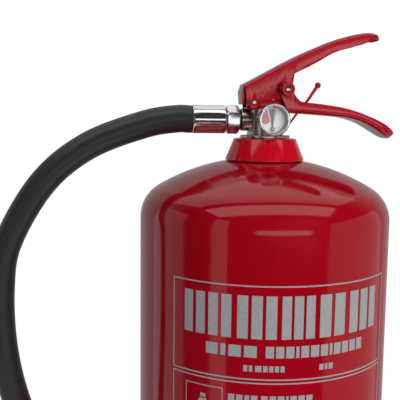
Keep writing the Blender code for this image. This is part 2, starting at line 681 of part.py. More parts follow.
# ---- gauge ----------------------------------------------------------------
def make_gauge():
    back_y = GAUGE_FRONT_Y + GAUGE_DEPTH
    stem = rod("gauge_stem", GAUGE_STEM_RADIUS, -0.0098 - back_y - GAP, 20,
               (0, -0.0098, OUTLET_Z), "-Y")
    boolean(stem, rod("stem_way", 0.0010, 0.020, 10, (0, -0.009, OUTLET_Z), "-Y", True))
    paint(stem, (0.75, 0.62, 0.36), 0.3, 1.0)

    depth = GAUGE_DEPTH - 0.0020
    wall_in = CASE_RADIUS - CASE_WALL
    profile = [(wall_in, depth), (CASE_RADIUS, depth), (CASE_RADIUS, 0.0008),
               (CASE_RADIUS - 0.0008, 0), (0, 0), (0, CASE_WALL), (wall_in, CASE_WALL)]
    case = turned("gauge_case", profile, 28, (0, back_y, OUTLET_Z), "-Y")
    paint(case, (0.75, 0.73, 0.70), 0.2, 1.0)

    dial_y = back_y - CASE_WALL - GAP
    dial = rod("gauge_dial", wall_in - GAP, DIAL_THICKNESS, 28, (0, dial_y, OUTLET_Z), "-Y")
    paint(dial, (0.8, 0.8, 0.8), 0.4)

    pivot_z = OUTLET_Z - NEEDLE_DROP
    pivot_y = dial_y - DIAL_THICKNESS - GAP
    profile = [(0, 0.0022), (NEEDLE_PIVOT_RADIUS, 0.0022), (NEEDLE_PIVOT_RADIUS, 0.0016),
               (NEEDLE_PIVOT_RADIUS / 2, 0.0016), (NEEDLE_PIVOT_RADIUS / 2, 0), (0, 0)]
    pivot = turned("gauge_pivot", profile, 10, (0, pivot_y, pivot_z), "-Y")
    paint(pivot, (0.75, 0.6, 0.3), 0.3, 1.0)

    hole = NEEDLE_PIVOT_RADIUS / 2 + GAP
    width = 0.0009
    hub = hole + 0.0007
    lean = math.degrees(math.asin(width / 2 / hub))
    outline = arc((0, 0), hub, 90 + lean, 450 - lean, 16)
    outline += [(width / 2, NEEDLE_LENGTH * 0.8), (0, NEEDLE_LENGTH), (-width / 2, NEEDLE_LENGTH * 0.8)]
    needle = plate("gauge_needle", [outline, arc((0, 0), hole, 0, 330, 11)], 0.0005,
                   (0, pivot_y - 0.0009, pivot_z))
    paint(needle, (0.03, 0.03, 0.03), 0.4)

    lens_y = GAUGE_FRONT_Y + 0.0020 + GAP + LENS_THICKNESS
    lens = rod("gauge_lens", wall_in - GAP, LENS_THICKNESS, 28, (0, lens_y, OUTLET_Z), "-Y")
    paint(lens, (0.9, 0.9, 0.9), 0.05)

    skirt_in = CASE_RADIUS + GAP
    top = BEZEL_SKIRT
    lip = top - 0.0016
    profile = [(BEZEL_LIP_RADIUS, top), (GAUGE_RADIUS - 0.0008, top), (GAUGE_RADIUS, top - 0.0008),
               (GAUGE_RADIUS, 0), (skirt_in, 0), (skirt_in, lip), (BEZEL_LIP_RADIUS, lip)]
    bezel = turned("gauge_bezel", profile, 28, (0, GAUGE_FRONT_Y + top, OUTLET_Z), "-Y")
    paint(bezel, (0.85, 0.84, 0.82), 0.12, 1.0)


# ---- levers ---------------------------------------------------------------
def make_handle():
    wide = HANDLE_HALF_WIDTH * 1000
    narrow = BRACKET_HALF_WIDTH * 1000
    stations = [(13.6, 2.5, 6.9, 17.8, wide), (14.6, 2.5, 7.6, 22.3, wide),
                (15.6, 2.4, 11.3, 24.6, wide), (17.0, 2.4, 15.4, 22.9, wide),
                (18.6, 2.3, 17.2, 17.0, wide), (21.5, 2.1, 20.8, 12.0, wide),
                (25.0, 2.0, 24.5, 10.2, wide), (36.5, 1.3, 36.3, 9.0, wide),
                (49.0, 0.4, 50.5, 7.1, wide), (59.3, -0.8, 61.0, 4.8, wide),
                (69.0, -3.5, 71.0, 1.4, wide), (77.0, -7.4, 80.0, -2.2, wide),
                (83.0, -11.0, 87.0, -6.0, wide - 0.3), (87.5, -13.8, 91.5, -9.5, wide - 1.5),
                (90.0, -15.3, 93.6, -12.0, wide - 4.5)]
    handle = channel("carry_handle", stations, HANDLE_WALL, HANDLE_BEND)

    pivot_x = PIVOT_X * 1000
    pivot_z = (PIVOT_Z - HEAD_Z) * 1000
    floor = (BARREL_TOP_Z - HEAD_Z + GAP) * 1000 + 0.1
    stations = [(-15.4, floor, -15.3, pivot_z, narrow), (-13.9, floor, -13.9, pivot_z + 3.4, narrow),
                (pivot_x, floor, pivot_x, pivot_z + 4.9, narrow),
                (-6.9, floor, -6.9, pivot_z + 3.4, narrow), (-3.5, floor, -3.5, 11.6, narrow),
                (13.3, floor, 13.0, 11.6, narrow), (16.8, 3.0, 16.0, 9.5, narrow),
                (20.0, 2.8, 20.0, 8.0, narrow)]
    boolean(handle, channel("bracket", stations, HANDLE_WALL, BRACKET_BEND, True), "UNION")
    across = 0.060
    boolean(handle, rod("handle_pivot_hole", PIVOT_HOLE, across, 20,
                        (PIVOT_X, -across / 2, PIVOT_Z), "Y", True))
    boolean(handle, rod("handle_pin_hole", PIN_HOLE, across, 20, (PIN_X, -across / 2, PIN_Z), "Y", True))
    boolean(handle, rod("stem_hole", STEM_HEAD_RADIUS + 0.0010, 0.010, 20,
                        (0, 0, BARREL_TOP_Z - 0.002), "Z", True))
    boolean(handle, rod("boss_room", BOSS_RADIUS + GAP, 0.020, 25,
                        (-BOSS_ROOT + GAP, 0, OUTLET_Z), "-X", True))
    for index, y in enumerate((-SCREW_Y, SCREW_Y)):
        boolean(handle, rod(f"handle_screw_hole_{index}", SCREW_RADIUS + GAP, 0.010, 8,
                            (SCREW_X, y, BARREL_TOP_Z - 0.002), "Z", True))
    half = SEAL_STICK_RADIUS + 0.0012
    low = (0.0188, -0.0040)
    high = (0.0274, 0.0070)
    slot = [(low[0] - half, low[1]), (low[0] + half, low[1]),
            (high[0] + half, high[1]), (high[0] - half, high[1])]
    boolean(handle, plate("seal_slot", [slot], 0.0034, (0, 0, HEAD_Z), True, True))
    paint(handle, (0.66, 0.008, 0.02), 0.2)

    head_z = HEAD_Z + floor / 1000 + HANDLE_WALL + GAP
    for name, y in (("handle_screw_near", -SCREW_Y), ("handle_screw_far", SCREW_Y)):
        profile = [(0, head_z + SCREW_HEAD_HEIGHT), (SCREW_HEAD_RADIUS - 0.0006, head_z + SCREW_HEAD_HEIGHT),
                   (SCREW_HEAD_RADIUS, head_z + SCREW_HEAD_HEIGHT / 2), (SCREW_HEAD_RADIUS, head_z),
                   (SCREW_RADIUS, head_z), (SCREW_RADIUS, BARREL_TOP_Z - SCREW_LENGTH + GAP),
                   (0, BARREL_TOP_Z - SCREW_LENGTH + GAP)]
        screw = turned(name, profile, 12, (SCREW_X, y, 0))
        paint(screw, (0.7, 0.7, 0.72), 0.3, 1.0)


def make_lever():
    wide = LEVER_HALF_WIDTH * 1000
    x = PIVOT_X * 1000
    z = (PIVOT_Z - HEAD_Z) * 1000
    lug = 4.9
    stations = [(-17.5, 22.2, x - lug, z, wide), (-14.2, 23.9, x - 3.5, z - 3.4, wide),
                (-10.8, 25.7, x, z - lug, wide), (-7.6, 27.4, x + 3.5, z - 3.4, wide),
                (-4.5, 29.1, x + 5.6, 10.0, wide), (3.0, 33.2, 1.5, 11.4, wide),
                (10.9, 37.5, 7.5, 12.6, wide), (15.0, 39.6, 13.2, 14.0, wide),
                (18.6, 41.5, 16.3, 18.0, wide), (20.4, 42.4, 16.9, 26.4, wide),
                (22.0, 43.2, 17.6, 29.4, wide), (25.0, 44.6, 20.4, 31.2, wide),
                (31.0, 47.3, 28.0, 34.9, wide), (38.2, 50.4, 36.5, 39.5, wide),
                (46.8, 54.0, 46.1, 45.0, wide), (57.8, 57.3, 58.0, 48.9, wide),
                (65.8, 59.0, 66.5, 51.1, wide), (72.1, 59.7, 72.5, 53.6, wide),
                (77.5, 59.3, 77.4, 55.6, wide - 2.0), (80.8, 58.4, 80.4, 55.3, wide - 5.0)]
    lever = channel("operating_lever", stations, LEVER_WALL, LEVER_BEND)
    wall = [(-14.5, 23.5), (-17.1, 22.2), (-19.0, 17.6), (-18.2, 8.2), (-16.6, 8.2), (-17.3, 17.4),
            (-16.2, 20.4), (-14.0, 22.0)]
    wall = [(across / 1000, along / 1000) for across, along in wall]
    boolean(lever, plate("rear_wall", [wall], 0.017, (0, 0, HEAD_Z), True, True), "UNION")
    across = 0.060
    boolean(lever, rod("lever_pivot_hole", PIVOT_HOLE, across, 20,
                       (PIVOT_X, -across / 2, PIVOT_Z), "Y", True))
    reach = math.hypot(PIN_X - PIVOT_X, PIN_Z - PIVOT_Z)
    rest = math.degrees(math.atan2(PIN_Z - PIVOT_Z, PIN_X - PIVOT_X))
    end = rest + math.degrees(LEVER_TRAVEL) + 0.4
    centre = (PIVOT_X, PIVOT_Z)
    low = (PIN_X, PIN_Z)
    high = arc(centre, reach, end, end, 1)[0]
    slot = arc(centre, reach + PIN_HOLE, rest, end, 4)
    slot += arc(high, PIN_HOLE, end, end + 180, 8)[1:-1]
    slot += arc(centre, reach - PIN_HOLE, end, rest, 4)
    slot += arc(low, PIN_HOLE, rest + 180, rest + 360, 8)[1:-1]
    boolean(lever, plate("pin_slot", [slot], across, (0, 0, 0), True, True))
    paint(lever, (0.66, 0.008, 0.02), 0.2)

    half = LEVER_HALF_WIDTH + 0.0002
    pin = rod("pivot_pin", PIVOT_RADIUS, 2 * half, 20, (PIVOT_X, -half, PIVOT_Z), "Y")
    paint(pin, (0.8, 0.8, 0.8), 0.2, 1.0)


def make_safety_pin():
    front = CAP_FRONT_Y + 0.0008
    pin = rod("safety_pin", PIN_RADIUS, PIN_EYE_Y - front, 16, (PIN_X, front, PIN_Z), "Y")
    eye = rod("pin_eye", PIN_EYE_RADIUS, 0.0026, 20, (PIN_X - 0.0013, PIN_EYE_Y + 0.0015, PIN_Z),
              "X", True)
    boolean(pin, eye, "UNION")
    boolean(pin, rod("eye_hole", PIN_EYE_HOLE, 0.010, 16, (PIN_X - 0.005, PIN_EYE_Y + 0.0020, PIN_Z),
                     "X", True))
    paint(pin, (0.75, 0.75, 0.76), 0.2, 1.0)

    length = -HANDLE_HALF_WIDTH - GAP - CAP_FRONT_Y
    tube_in = PIN_HOLE
    profile = [(CAP_RADIUS - 0.0005, length), (CAP_RADIUS, length - 0.0005), (CAP_RADIUS, 0),
               (tube_in, 0), (tube_in, length - 0.0012), (tube_in + 0.0006, length - 0.0006),
               (CAP_BORE, length - 0.0006), (CAP_BORE, length - CAP_FLOOR),
               (CAP_BORE + 0.0006, length - CAP_FLOOR), (CAP_BORE + 0.0006, length)]
    cap = turned("pin_cap", profile, 20, (PIN_X, -HANDLE_HALF_WIDTH - GAP, PIN_Z), "-Y")
    paint(cap, (0.7, 0.01, 0.02), 0.2)

    hang_z = PIN_Z - RING_RADIUS
    points = []
    for index in range(24):
        angle = 2 * math.pi * index / 24
        points.append((PIN_X + RING_RADIUS * math.cos(angle), PIN_EYE_Y + 0.0020,
                       hang_z + RING_RADIUS * math.sin(angle)))
    ring = wire("pull_ring", points, RING_WIRE, 2, None, True)
    paint(ring, (0.75, 0.75, 0.76), 0.2, 1.0)


def make_tamper_seal():
    line = [(0.0388, 0.0235, 2.5), (0.0384, 0.0226, 2.6), (0.0376, 0.0212, 1.7), (0.0360, 0.0188, 1.5),
            (0.0304, 0.0105, 1.25), (0.0230, 0.0014, 1.0), (0.0193, -0.0037, 0.85),
            (0.0150, -0.0096, 0.8)]
    points = [(x, 0, HEAD_Z + z) for x, z, _ in line]
    radii = [size for _, _, size in line]
    seal = wire("tamper_seal", points, SEAL_STICK_RADIUS, 2, radii)
    paint(seal, (0.6, 0.01, 0.02), 0.3)


def main():
    start_scene()
    make_vessel()
    make_collar()
    make_valve_body()
    make_stem()
    make_siphon()
    hose_start = make_outlet()
    make_hose(hose_start)
    make_gauge()
    make_handle()
    make_lever()
    make_safety_pin()
    make_tamper_seal()
    bpy.context.view_layer.update()


main()
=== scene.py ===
"""Looks of the water fire extinguisher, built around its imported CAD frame."""
import json
import math

import bmesh
import bpy
from mathutils import Matrix, Vector


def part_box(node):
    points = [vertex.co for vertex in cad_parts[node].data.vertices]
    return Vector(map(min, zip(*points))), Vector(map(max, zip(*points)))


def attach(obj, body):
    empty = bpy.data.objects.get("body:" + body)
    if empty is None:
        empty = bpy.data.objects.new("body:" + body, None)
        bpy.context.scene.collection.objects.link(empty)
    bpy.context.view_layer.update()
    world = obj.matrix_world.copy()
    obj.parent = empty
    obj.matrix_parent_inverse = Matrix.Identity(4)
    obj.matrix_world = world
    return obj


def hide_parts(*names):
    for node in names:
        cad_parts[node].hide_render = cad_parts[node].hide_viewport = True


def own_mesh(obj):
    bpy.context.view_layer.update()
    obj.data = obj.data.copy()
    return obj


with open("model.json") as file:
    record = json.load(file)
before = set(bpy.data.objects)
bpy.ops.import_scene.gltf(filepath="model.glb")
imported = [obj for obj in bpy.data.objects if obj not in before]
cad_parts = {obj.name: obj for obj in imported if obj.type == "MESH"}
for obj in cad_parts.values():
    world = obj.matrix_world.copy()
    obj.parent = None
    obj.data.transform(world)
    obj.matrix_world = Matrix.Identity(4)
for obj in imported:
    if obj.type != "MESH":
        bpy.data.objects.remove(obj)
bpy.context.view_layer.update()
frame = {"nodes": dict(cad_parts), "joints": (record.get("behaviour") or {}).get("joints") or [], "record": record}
ROOT = "cylinder_and_valve"

# ---- places taken from the frame, metres ----------------------------------
bezel_low, bezel_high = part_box("gauge_bezel")
OUTLET_Z = (bezel_low[2] + bezel_high[2]) / 2
HEAD_ABOVE_OUTLET = 0.0027
HEAD_Z = OUTLET_Z + HEAD_ABOVE_OUTLET
BODY_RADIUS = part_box("cylinder_shell")[1][0]
JOINTS = {joint["name"]: joint for joint in frame["joints"]}
PIVOT = Vector(JOINTS["operating_lever_squeeze"]["pos_m"])
PIN = Vector(JOINTS["pull_ring_swing"]["pos_m"])
NEEDLE = Vector(JOINTS["gauge_needle_turn"]["pos_m"])


def linked(name, data):
    """Object that holds the data, added to the scene."""
    obj = bpy.data.objects.new(name, data)
    bpy.context.scene.collection.objects.link(obj)
    return obj


# ---- camera ---------------------------------------------------------------
def make_camera():
    """Camera at the height of the head, a little to the hose's side."""
    heading = math.radians(7.0)
    dip = math.radians(6.95)
    roll = math.radians(0.62)
    place = Vector((-0.1079, -0.4968, HEAD_Z))
    ahead = Vector((math.sin(heading) * math.cos(dip), math.cos(heading) * math.cos(dip), -math.sin(dip)))
    level = Vector((math.cos(heading), -math.sin(heading), 0))
    lift = level.cross(ahead)
    right = math.cos(roll) * level + math.sin(roll) * lift
    up = -math.sin(roll) * level + math.cos(roll) * lift
    data = bpy.data.cameras.new("camera")
    data.lens = 62.44
    data.sensor_width = 36.0
    data.clip_start = 0.01
    camera = linked("camera", data)
    turn = Matrix((right, up, -ahead)).transposed().to_4x4()
    camera.matrix_world = Matrix.Translation(place) @ turn
    bpy.context.scene.camera = camera


make_camera()
bpy.context.scene.view_settings.view_transform = "Standard"


# ---- shader helpers -------------------------------------------------------
class Shader:
    """A Principled material and short ways to add nodes to it."""

    def __init__(self, name, colour, roughness, metallic=0.0, **sockets):
        self.material = bpy.data.materials.new(name)
        self.material.use_nodes = True
        self.tree = self.material.node_tree
        self.principled = self.tree.nodes["Principled BSDF"]
        self.colour = colour
        self.set("Base Color", (*colour, 1.0))
        self.set("Roughness", roughness)
        self.set("Metallic", metallic)
        for socket, value in sockets.items():
            self.set(socket.replace("_", " "), value)
        self.place = self.tree.nodes.new("ShaderNodeTexCoord").outputs["Object"]
        self.bump = None

    def set(self, socket, value):
        self.principled.inputs[socket].default_value = value

    def noise(self, scale, detail, rough=0.5):
        """Noise over the object, scale in features per metre."""
        node = self.tree.nodes.new("ShaderNodeTexNoise")
        node.inputs["Scale"].default_value = scale
        node.inputs["Detail"].default_value = detail
        node.inputs["Roughness"].default_value = rough
        self.tree.links.new(self.place, node.inputs["Vector"])
        return node.outputs["Fac"]

    def span(self, source, low, high, start=0.35, end=0.65):
        """Spread a noise over low to high."""
        node = self.tree.nodes.new("ShaderNodeMapRange")
        node.inputs["From Min"].default_value = start
        node.inputs["From Max"].default_value = end
        node.inputs["To Min"].default_value = low
        node.inputs["To Max"].default_value = high
        self.tree.links.new(source, node.inputs["Value"])
        return node.outputs["Result"]

    def link(self, source, socket):
        self.tree.links.new(source, self.principled.inputs[socket])

    def vary_colour(self, source, other, start=0.4, end=0.6):
        """Blend the base colour towards another where the source is high."""
        mix = self.tree.nodes.new("ShaderNodeMix")
        mix.data_type = "RGBA"
        mix.inputs["A"].default_value = (*self.colour, 1.0)
        mix.inputs["B"].default_value = (*other, 1.0)
        self.tree.links.new(self.span(source, 0.0, 1.0, start, end), mix.inputs["Factor"])
        self.link(mix.outputs["Result"], "Base Color")

    def add_bump(self, source, strength, distance):
        """Bump on top of those that the material has already; distance in metres."""
        node = self.tree.nodes.new("ShaderNodeBump")
        node.inputs["Strength"].default_value = strength
        node.inputs["Distance"].default_value = distance
        self.tree.links.new(source, node.inputs["Height"])
        if self.bump:
            self.tree.links.new(self.bump, node.inputs["Normal"])
        self.bump = node.outputs["Normal"]
        self.link(self.bump, "Normal")


def red_paint():
    """Stoved gloss enamel with faint orange peel and handling haze."""
    s = Shader("red_paint", (0.265, 0.0006, 0.006), 0.07)
    s.vary_colour(s.noise(9, 3), (0.295, 0.0008, 0.008))
    s.link(s.span(s.noise(55, 5, 0.6), 0.07, 0.13), "Roughness")
    s.add_bump(s.noise(420, 2), 0.05, 0.0002)
    return s.material


def lever_paint():
    """Powder coat on pressed steel, under a thin clear gloss."""
    s = Shader("lever_paint", (0.34, 0.0010, 0.011), 0.15, Coat_Weight=0.2, Coat_Roughness=0.08)
    s.vary_colour(s.noise(120, 3), (0.30, 0.0009, 0.009))
    s.link(s.span(s.noise(700, 4), 0.11, 0.20), "Roughness")
    s.add_bump(s.noise(1300, 3), 0.09, 0.0001)
    return s.material


def red_plastic():
    """Smooth moulded plastic of the collar and the seal."""
    s = Shader("red_plastic", (0.50, 0.0022, 0.012), 0.13, Coat_Weight=0.2, Coat_Roughness=0.05)
    s.vary_colour(s.noise(60, 2), (0.47, 0.0019, 0.011))
    s.link(s.span(s.noise(250, 4), 0.10, 0.18), "Roughness")
    s.add_bump(s.noise(600, 2), 0.06, 0.0002)
    return s.material


def black_plastic():
    """Moulded plastic with a dull, fine texture."""
    s = Shader("black_plastic", (0.013, 0.013, 0.014), 0.42)
    s.vary_colour(s.noise(300, 4), (0.020, 0.020, 0.021))
    s.link(s.span(s.noise(900, 4), 0.36, 0.52), "Roughness")
    s.add_bump(s.noise(2600, 3), 0.25, 0.0001)
    return s.material


def black_rubber():
    """Cloth-wrapped hose rubber: a fine pebble over a slower unevenness."""
    s = Shader("black_rubber", (0.011, 0.0113, 0.012), 0.36, Specular_IOR_Level=0.65)
    s.vary_colour(s.noise(900, 5, 0.6), (0.015, 0.0155, 0.017))
    s.link(s.span(s.noise(700, 4), 0.36, 0.46), "Roughness")
    s.add_bump(s.noise(1700, 4, 0.6), 0.40, 0.0002)
    s.add_bump(s.noise(500, 3), 0.08, 0.0003)
    return s.material


def metal(name, colour, roughness, grain, worn, coarse=900):
    """Bare metal with duller patches; coarse is its grain in features per metre."""
    smoothest, dullest = roughness * 0.75, roughness * 1.4
    s = Shader(name, colour, roughness, 1.0)
    s.vary_colour(s.noise(coarse / 5, 3), worn)
    s.link(s.span(s.noise(coarse, 4), smoothest, dullest), "Roughness")
    s.add_bump(s.noise(coarse * 2, 3), grain, 0.0001)
    return s.material


def print_grey():
    """Silver-grey ink of the label."""
    s = Shader("print_grey", (0.29, 0.29, 0.30), 0.28, 0.0, Coat_Weight=0.25, Coat_Roughness=0.08)
    s.vary_colour(s.noise(700, 3), (0.26, 0.26, 0.27))
    s.link(s.span(s.noise(1600, 3), 0.24, 0.36), "Roughness")
    return s.material


def dial_print(name, colour, other):
    """Matt print or plastic, its colour drifting towards another."""
    s = Shader(name, colour, 0.35)
    s.vary_colour(s.noise(1800, 3), other)
    s.link(s.span(s.noise(2500, 2), 0.30, 0.42), "Roughness")
    return s.material


def clear_lens():
    """Thin clear window: mostly see-through, with a glossy face."""
    s = Shader("lens", (0.80, 0.82, 0.84), 0.04, Alpha=0.10, IOR=1.49)
    s.link(s.span(s.noise(500, 3), 0.02, 0.06), "Roughness")
    return s.material


LOOKS = {
    "red_paint": red_paint(),
    "lever_paint": lever_paint(),
    "red_plastic": red_plastic(),
    "black_plastic": black_plastic(),
    "black_rubber": black_rubber(),
    "nickel_brass": metal("nickel_brass", (0.64, 0.54, 0.49), 0.24, 0.18, (0.52, 0.43, 0.38), 700),
    "brass": metal("brass", (0.70, 0.52, 0.26), 0.25, 0.15, (0.58, 0.42, 0.20)),
    "chrome": metal("chrome", (0.90, 0.91, 0.93), 0.15, 0.03, (0.85, 0.86, 0.88)),
    "steel": metal("steel", (0.62, 0.62, 0.63), 0.18, 0.08, (0.54, 0.54, 0.55)),
    "white_plastic": dial_print("white_plastic", (0.75, 0.75, 0.72), (0.68, 0.68, 0.65)),
    "dial_card": dial_print("dial_card", (0.92, 0.93, 0.94), (0.88, 0.89, 0.91)),
    "needle_paint": dial_print("needle_paint", (0.03, 0.035, 0.04), (0.05, 0.055, 0.06)),
    "lens": clear_lens(),
}
PRINT = print_grey()
DIAL_RED = dial_print("dial_red", (0.52, 0.10, 0.08), (0.47, 0.085, 0.07))
DIAL_GREEN = dial_print("dial_green", (0.055, 0.10, 0.095), (0.075, 0.12, 0.11))

SLOT_OF = {row["node"]: row["material_slot"] for row in frame["record"]["subparts"]}
for node_name, node in frame["nodes"].items():
    node.data.materials.clear()
    node.data.materials.append(LOOKS[SLOT_OF[node_name]])


# ---- outlines and meshes --------------------------------------------------
ON_AXIS = 1e-7
AXIS_TURNS = {
    "Z": Matrix.Identity(4),
    "X": Matrix.Rotation(math.pi / 2, 4, "Y"),
    "-X": Matrix.Rotation(-math.pi / 2, 4, "Y"),
    "-Y": Matrix.Rotation(math.pi / 2, 4, "X"),
}


def new_piece(name, mesh, look, body=ROOT, replaced=(), sharp=35):
    """Add a piece: smooth shaded, riding on its body, standing for its nodes."""
    mesh.materials.clear()
    mesh.materials.append(look)
    mesh.shade_smooth()
    mesh.set_sharp_from_angle(angle=math.radians(sharp))
    obj = linked(name, mesh)
    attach(obj, body)
    if replaced:
        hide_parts(*replaced)
    return obj


def stand_in(name, mesh, node, body=ROOT, sharp=35, slot=None):
    """Piece that stands for one CAD node, in the look of its slot."""
    slot = slot or SLOT_OF[node]
    return new_piece(name, mesh, LOOKS[slot], body, (node,), sharp)


def arc(centre, radius, start, end, steps):
    """Points of an arc between two angles in radians, both ends included."""
    points = []
    for index in range(steps + 1):
        angle = start + (end - start) * index / steps
        points.append((centre[0] + radius * math.cos(angle), centre[1] + radius * math.sin(angle)))
    return points


def smooth_points(knots, steps):
    """Points on a Catmull-Rom curve from the second knot to the last but one."""
    points = []
    for index in range(1, len(knots) - 2):
        a, b, c, d = knots[index - 1:index + 3]
        for step in range(steps):
            t = step / steps
            points.append(0.5 * (2 * b + (c - a) * t + (2 * a - 5 * b + 4 * c - d) * t ** 2
                                 + (3 * b - a - 3 * c + d) * t ** 3))
    points.append(knots[-2])
    return points


def soften(outline, radius, steps=4):
    """Round the corners of a closed outline, but not those on the axis."""
    longest_share = 0.45
    nearly_straight = -0.99
    points = []
    count = len(outline)
    for index in range(count):
        before, here, after = (Vector(outline[(index + k) % count]) for k in (-1, 0, 1))
        back, on = before - here, after - here
        cut = min(radius, back.length * longest_share, on.length * longest_share)
        if here.x < ON_AXIS or back.normalized().dot(on.normalized()) < nearly_straight:
            points.append(tuple(here))
            continue
        start, end = here + back.normalized() * cut, here + on.normalized() * cut
        for step in range(steps + 1):
            t = step / steps
            points.append(tuple(start.lerp(here, t).lerp(here.lerp(end, t), t)))
    return points


def round_bar(radius, top, bottom, edge):
    """Outline of a bar between two heights, its rim rounded."""
    return soften([(0, top), (radius, top), (radius, bottom), (0, bottom)], edge)


def bridge(work, low, high):
    """Faces between two closed loops of vertices; a loop of one vertex is a pole."""
    count = max(len(low), len(high))
    for index in range(count):
        after = (index + 1) % count
        corners = [low[index % len(low)], low[after % len(low)],
                   high[after % len(high)], high[index % len(high)]]
        work.faces.new(list(dict.fromkeys(corners)))


def prism(work, first, last):
    """Closed solid between two loops of vertices."""
    work.faces.new(first[::-1])
    work.faces.new(last)
    bridge(work, first, last)


def finished_mesh(work, name):
    """Mesh with its faces turned outwards; frees the bmesh."""
    bmesh.ops.recalc_face_normals(work, faces=work.faces)
    mesh = bpy.data.meshes.new(name)
    work.to_mesh(mesh)
    work.free()
    return mesh


def turned_mesh(name, outline, segments, at=(0, 0, 0), axis="Z", shape=None):
    """Turn a closed (radius, height) outline round an axis; shape bends the radius."""
    work = bmesh.new()
    rings = []
    for radius, height in outline:
        if radius < ON_AXIS:
            rings.append([work.verts.new((0, 0, height))])
            continue
        ring = []
        for index in range(segments):
            angle = 2 * math.pi * index / segments
            out = shape(radius, height, angle) if shape else radius
            ring.append(work.verts.new((out * math.cos(angle), out * math.sin(angle), height)))
        rings.append(ring)
    for low, high in zip(rings, rings[1:] + rings[:1]):
        if len(low) > 1 or len(high) > 1:
            bridge(work, low, high)
    mesh = finished_mesh(work, name)
    mesh.transform(Matrix.Translation(at) @ AXIS_TURNS[axis])
    return mesh


def tube_mesh(name, points, radius, sides, scales=None):
    """Closed round tube along points that lie in one plane of X and Z."""
    work = bmesh.new()
    across = Vector((0, 1, 0))
    rings = []
    for index, point in enumerate(points):
        ahead = points[min(index + 1, len(points) - 1)] - points[max(index - 1, 0)]
        out = across.cross(ahead.normalized())
        size = radius * (scales[index] if scales else 1.0)
        ring = []
        for side in range(sides):
            angle = 2 * math.pi * side / sides
            ring.append(work.verts.new(point + size * (math.cos(angle) * across + math.sin(angle) * out)))
        rings.append(ring)
    for low, high in zip(rings, rings[1:]):
        bridge(work, low, high)
    work.faces.new(rings[0])
    work.faces.new(rings[-1][::-1])
    return finished_mesh(work, name)


def torus_mesh(name, centre, radius, wire, segments=96, sides=16):
    """Round wire ring about a line along Y."""
    work = bmesh.new()
    rings = []
    for index in range(segments):
        angle = 2 * math.pi * index / segments
        out = Vector((math.cos(angle), 0, math.sin(angle)))
        ring = []
        for side in range(sides):
            turn = 2 * math.pi * side / sides
            ring.append(work.verts.new(Vector(centre) + out * (radius + wire * math.cos(turn))
                                       + Vector((0, wire * math.sin(turn), 0))))
        rings.append(ring)
    for low, high in zip(rings, rings[1:] + rings[:1]):
        bridge(work, low, high)
    return finished_mesh(work, name)


# ---- joining, cutting and rounding ----------------------------------------
def add_bevel(obj, width, segments, sharper_than):
    """Round the edges that are sharper than an angle in degrees."""
    bevel = obj.modifiers.new("Edges", "BEVEL")
    bevel.width = width
    bevel.segments = segments
    bevel.limit_method = "ANGLE"
    bevel.angle_limit = math.radians(sharper_than)


def baked(obj):
    """Evaluated mesh of an object, which is then removed."""
    bpy.context.view_layer.update()
    evaluated = obj.evaluated_get(bpy.context.evaluated_depsgraph_get())
    mesh = bpy.data.meshes.new_from_object(evaluated)
    bpy.data.objects.remove(obj, do_unlink=True)
    return mesh


def combined(base, steps, edge=0.0):
    """Join or cut with other solids, then round the edges that are left."""
    for operation, other in steps:
        step = base.modifiers.new("step", "BOOLEAN")
        step.object = other
        step.operation = operation
        step.solver = "EXACT"
    if edge:
        add_bevel(base, edge, 2, 50)
    mesh = baked(base)
    for _, other in steps:
        bpy.data.objects.remove(other, do_unlink=True)
    return mesh


def turned_solid(outline, segments, at, axis):
    """Turned object to join or cut with."""
    return linked("turned", turned_mesh("turned", outline, segments, at, axis))


def cutting_rod(radius, at, axis, length=0.060):
    """Round cutter centred on a point."""
    half = length / 2
    return turned_solid([(0, half), (radius, half), (radius, -half), (0, -half)], 40, at, axis)


def slab(outline, thickness):
    """Upright plate from an (x, z) outline in metres, its middle on the plane Y = 0."""
    work = bmesh.new()
    near, far = ([work.verts.new((x, y, z)) for x, z in outline] for y in (-thickness / 2, thickness / 2))
    prism(work, near, far)
    return linked("slab", finished_mesh(work, "slab"))


def refined(node, width, body=ROOT, sharp=35):
    """Stand-in for a CAD node with its hard edges rounded."""
    same_place = 1e-6
    flat = math.radians(1.0)
    work = bmesh.new()
    work.from_mesh(frame["nodes"][node].data)
    bmesh.ops.remove_doubles(work, verts=work.verts, dist=same_place)
    bmesh.ops.dissolve_limit(work, angle_limit=flat, verts=work.verts, edges=work.edges)
    mesh = bpy.data.meshes.new(node)
    work.to_mesh(mesh)
    work.free()
    if width:
        raw = linked("raw", mesh)
        add_bevel(raw, width, 3, 40)
        mesh = baked(raw)
    return stand_in(node + "_look", mesh, node, body, sharp)


# ---- hose and nozzle ------------------------------------------------------
HOSE_RADIUS = 0.0098
HOSE_GAP = 0.0003
HOSE_EXIT = Vector((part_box("hose_ferrule")[0][0] - HOSE_GAP, 0, OUTLET_Z))
# The route's points, the same as the solid hose has.
HOSE_ROUTE = [(0, 0), (-0.012, 0), (-0.035, -0.0044), (-0.0739, -0.0198), (-0.1053, -0.0459),
              (-0.1298, -0.0877), (-0.1358, -0.1225), (-0.1345, -0.1649), (-0.1264, -0.2047),
              (-0.1114, -0.2418), (-0.0914, -0.2764), (-0.0714, -0.3111), (-0.0585, -0.3434),
              (-0.0535, -0.3781), (-0.0535, -0.3900)]


def make_hose():
    """Hose as a cord, with the nozzle and its clamp ring on the end."""
    route = [HOSE_EXIT + Vector((x, 0, z)) for x, z in HOSE_ROUTE]
    knots = [2 * route[0] - route[1]] + route + [2 * route[-1] - route[-2]]
    points = smooth_points(knots, 14)
    hose = stand_in("hose_look", tube_mesh("hose_look", points, HOSE_RADIUS, 40), "hose", sharp=60)
    nozzle = refined("nozzle", 0.0004)
    ring = refined("nozzle_ring", 0.0006)


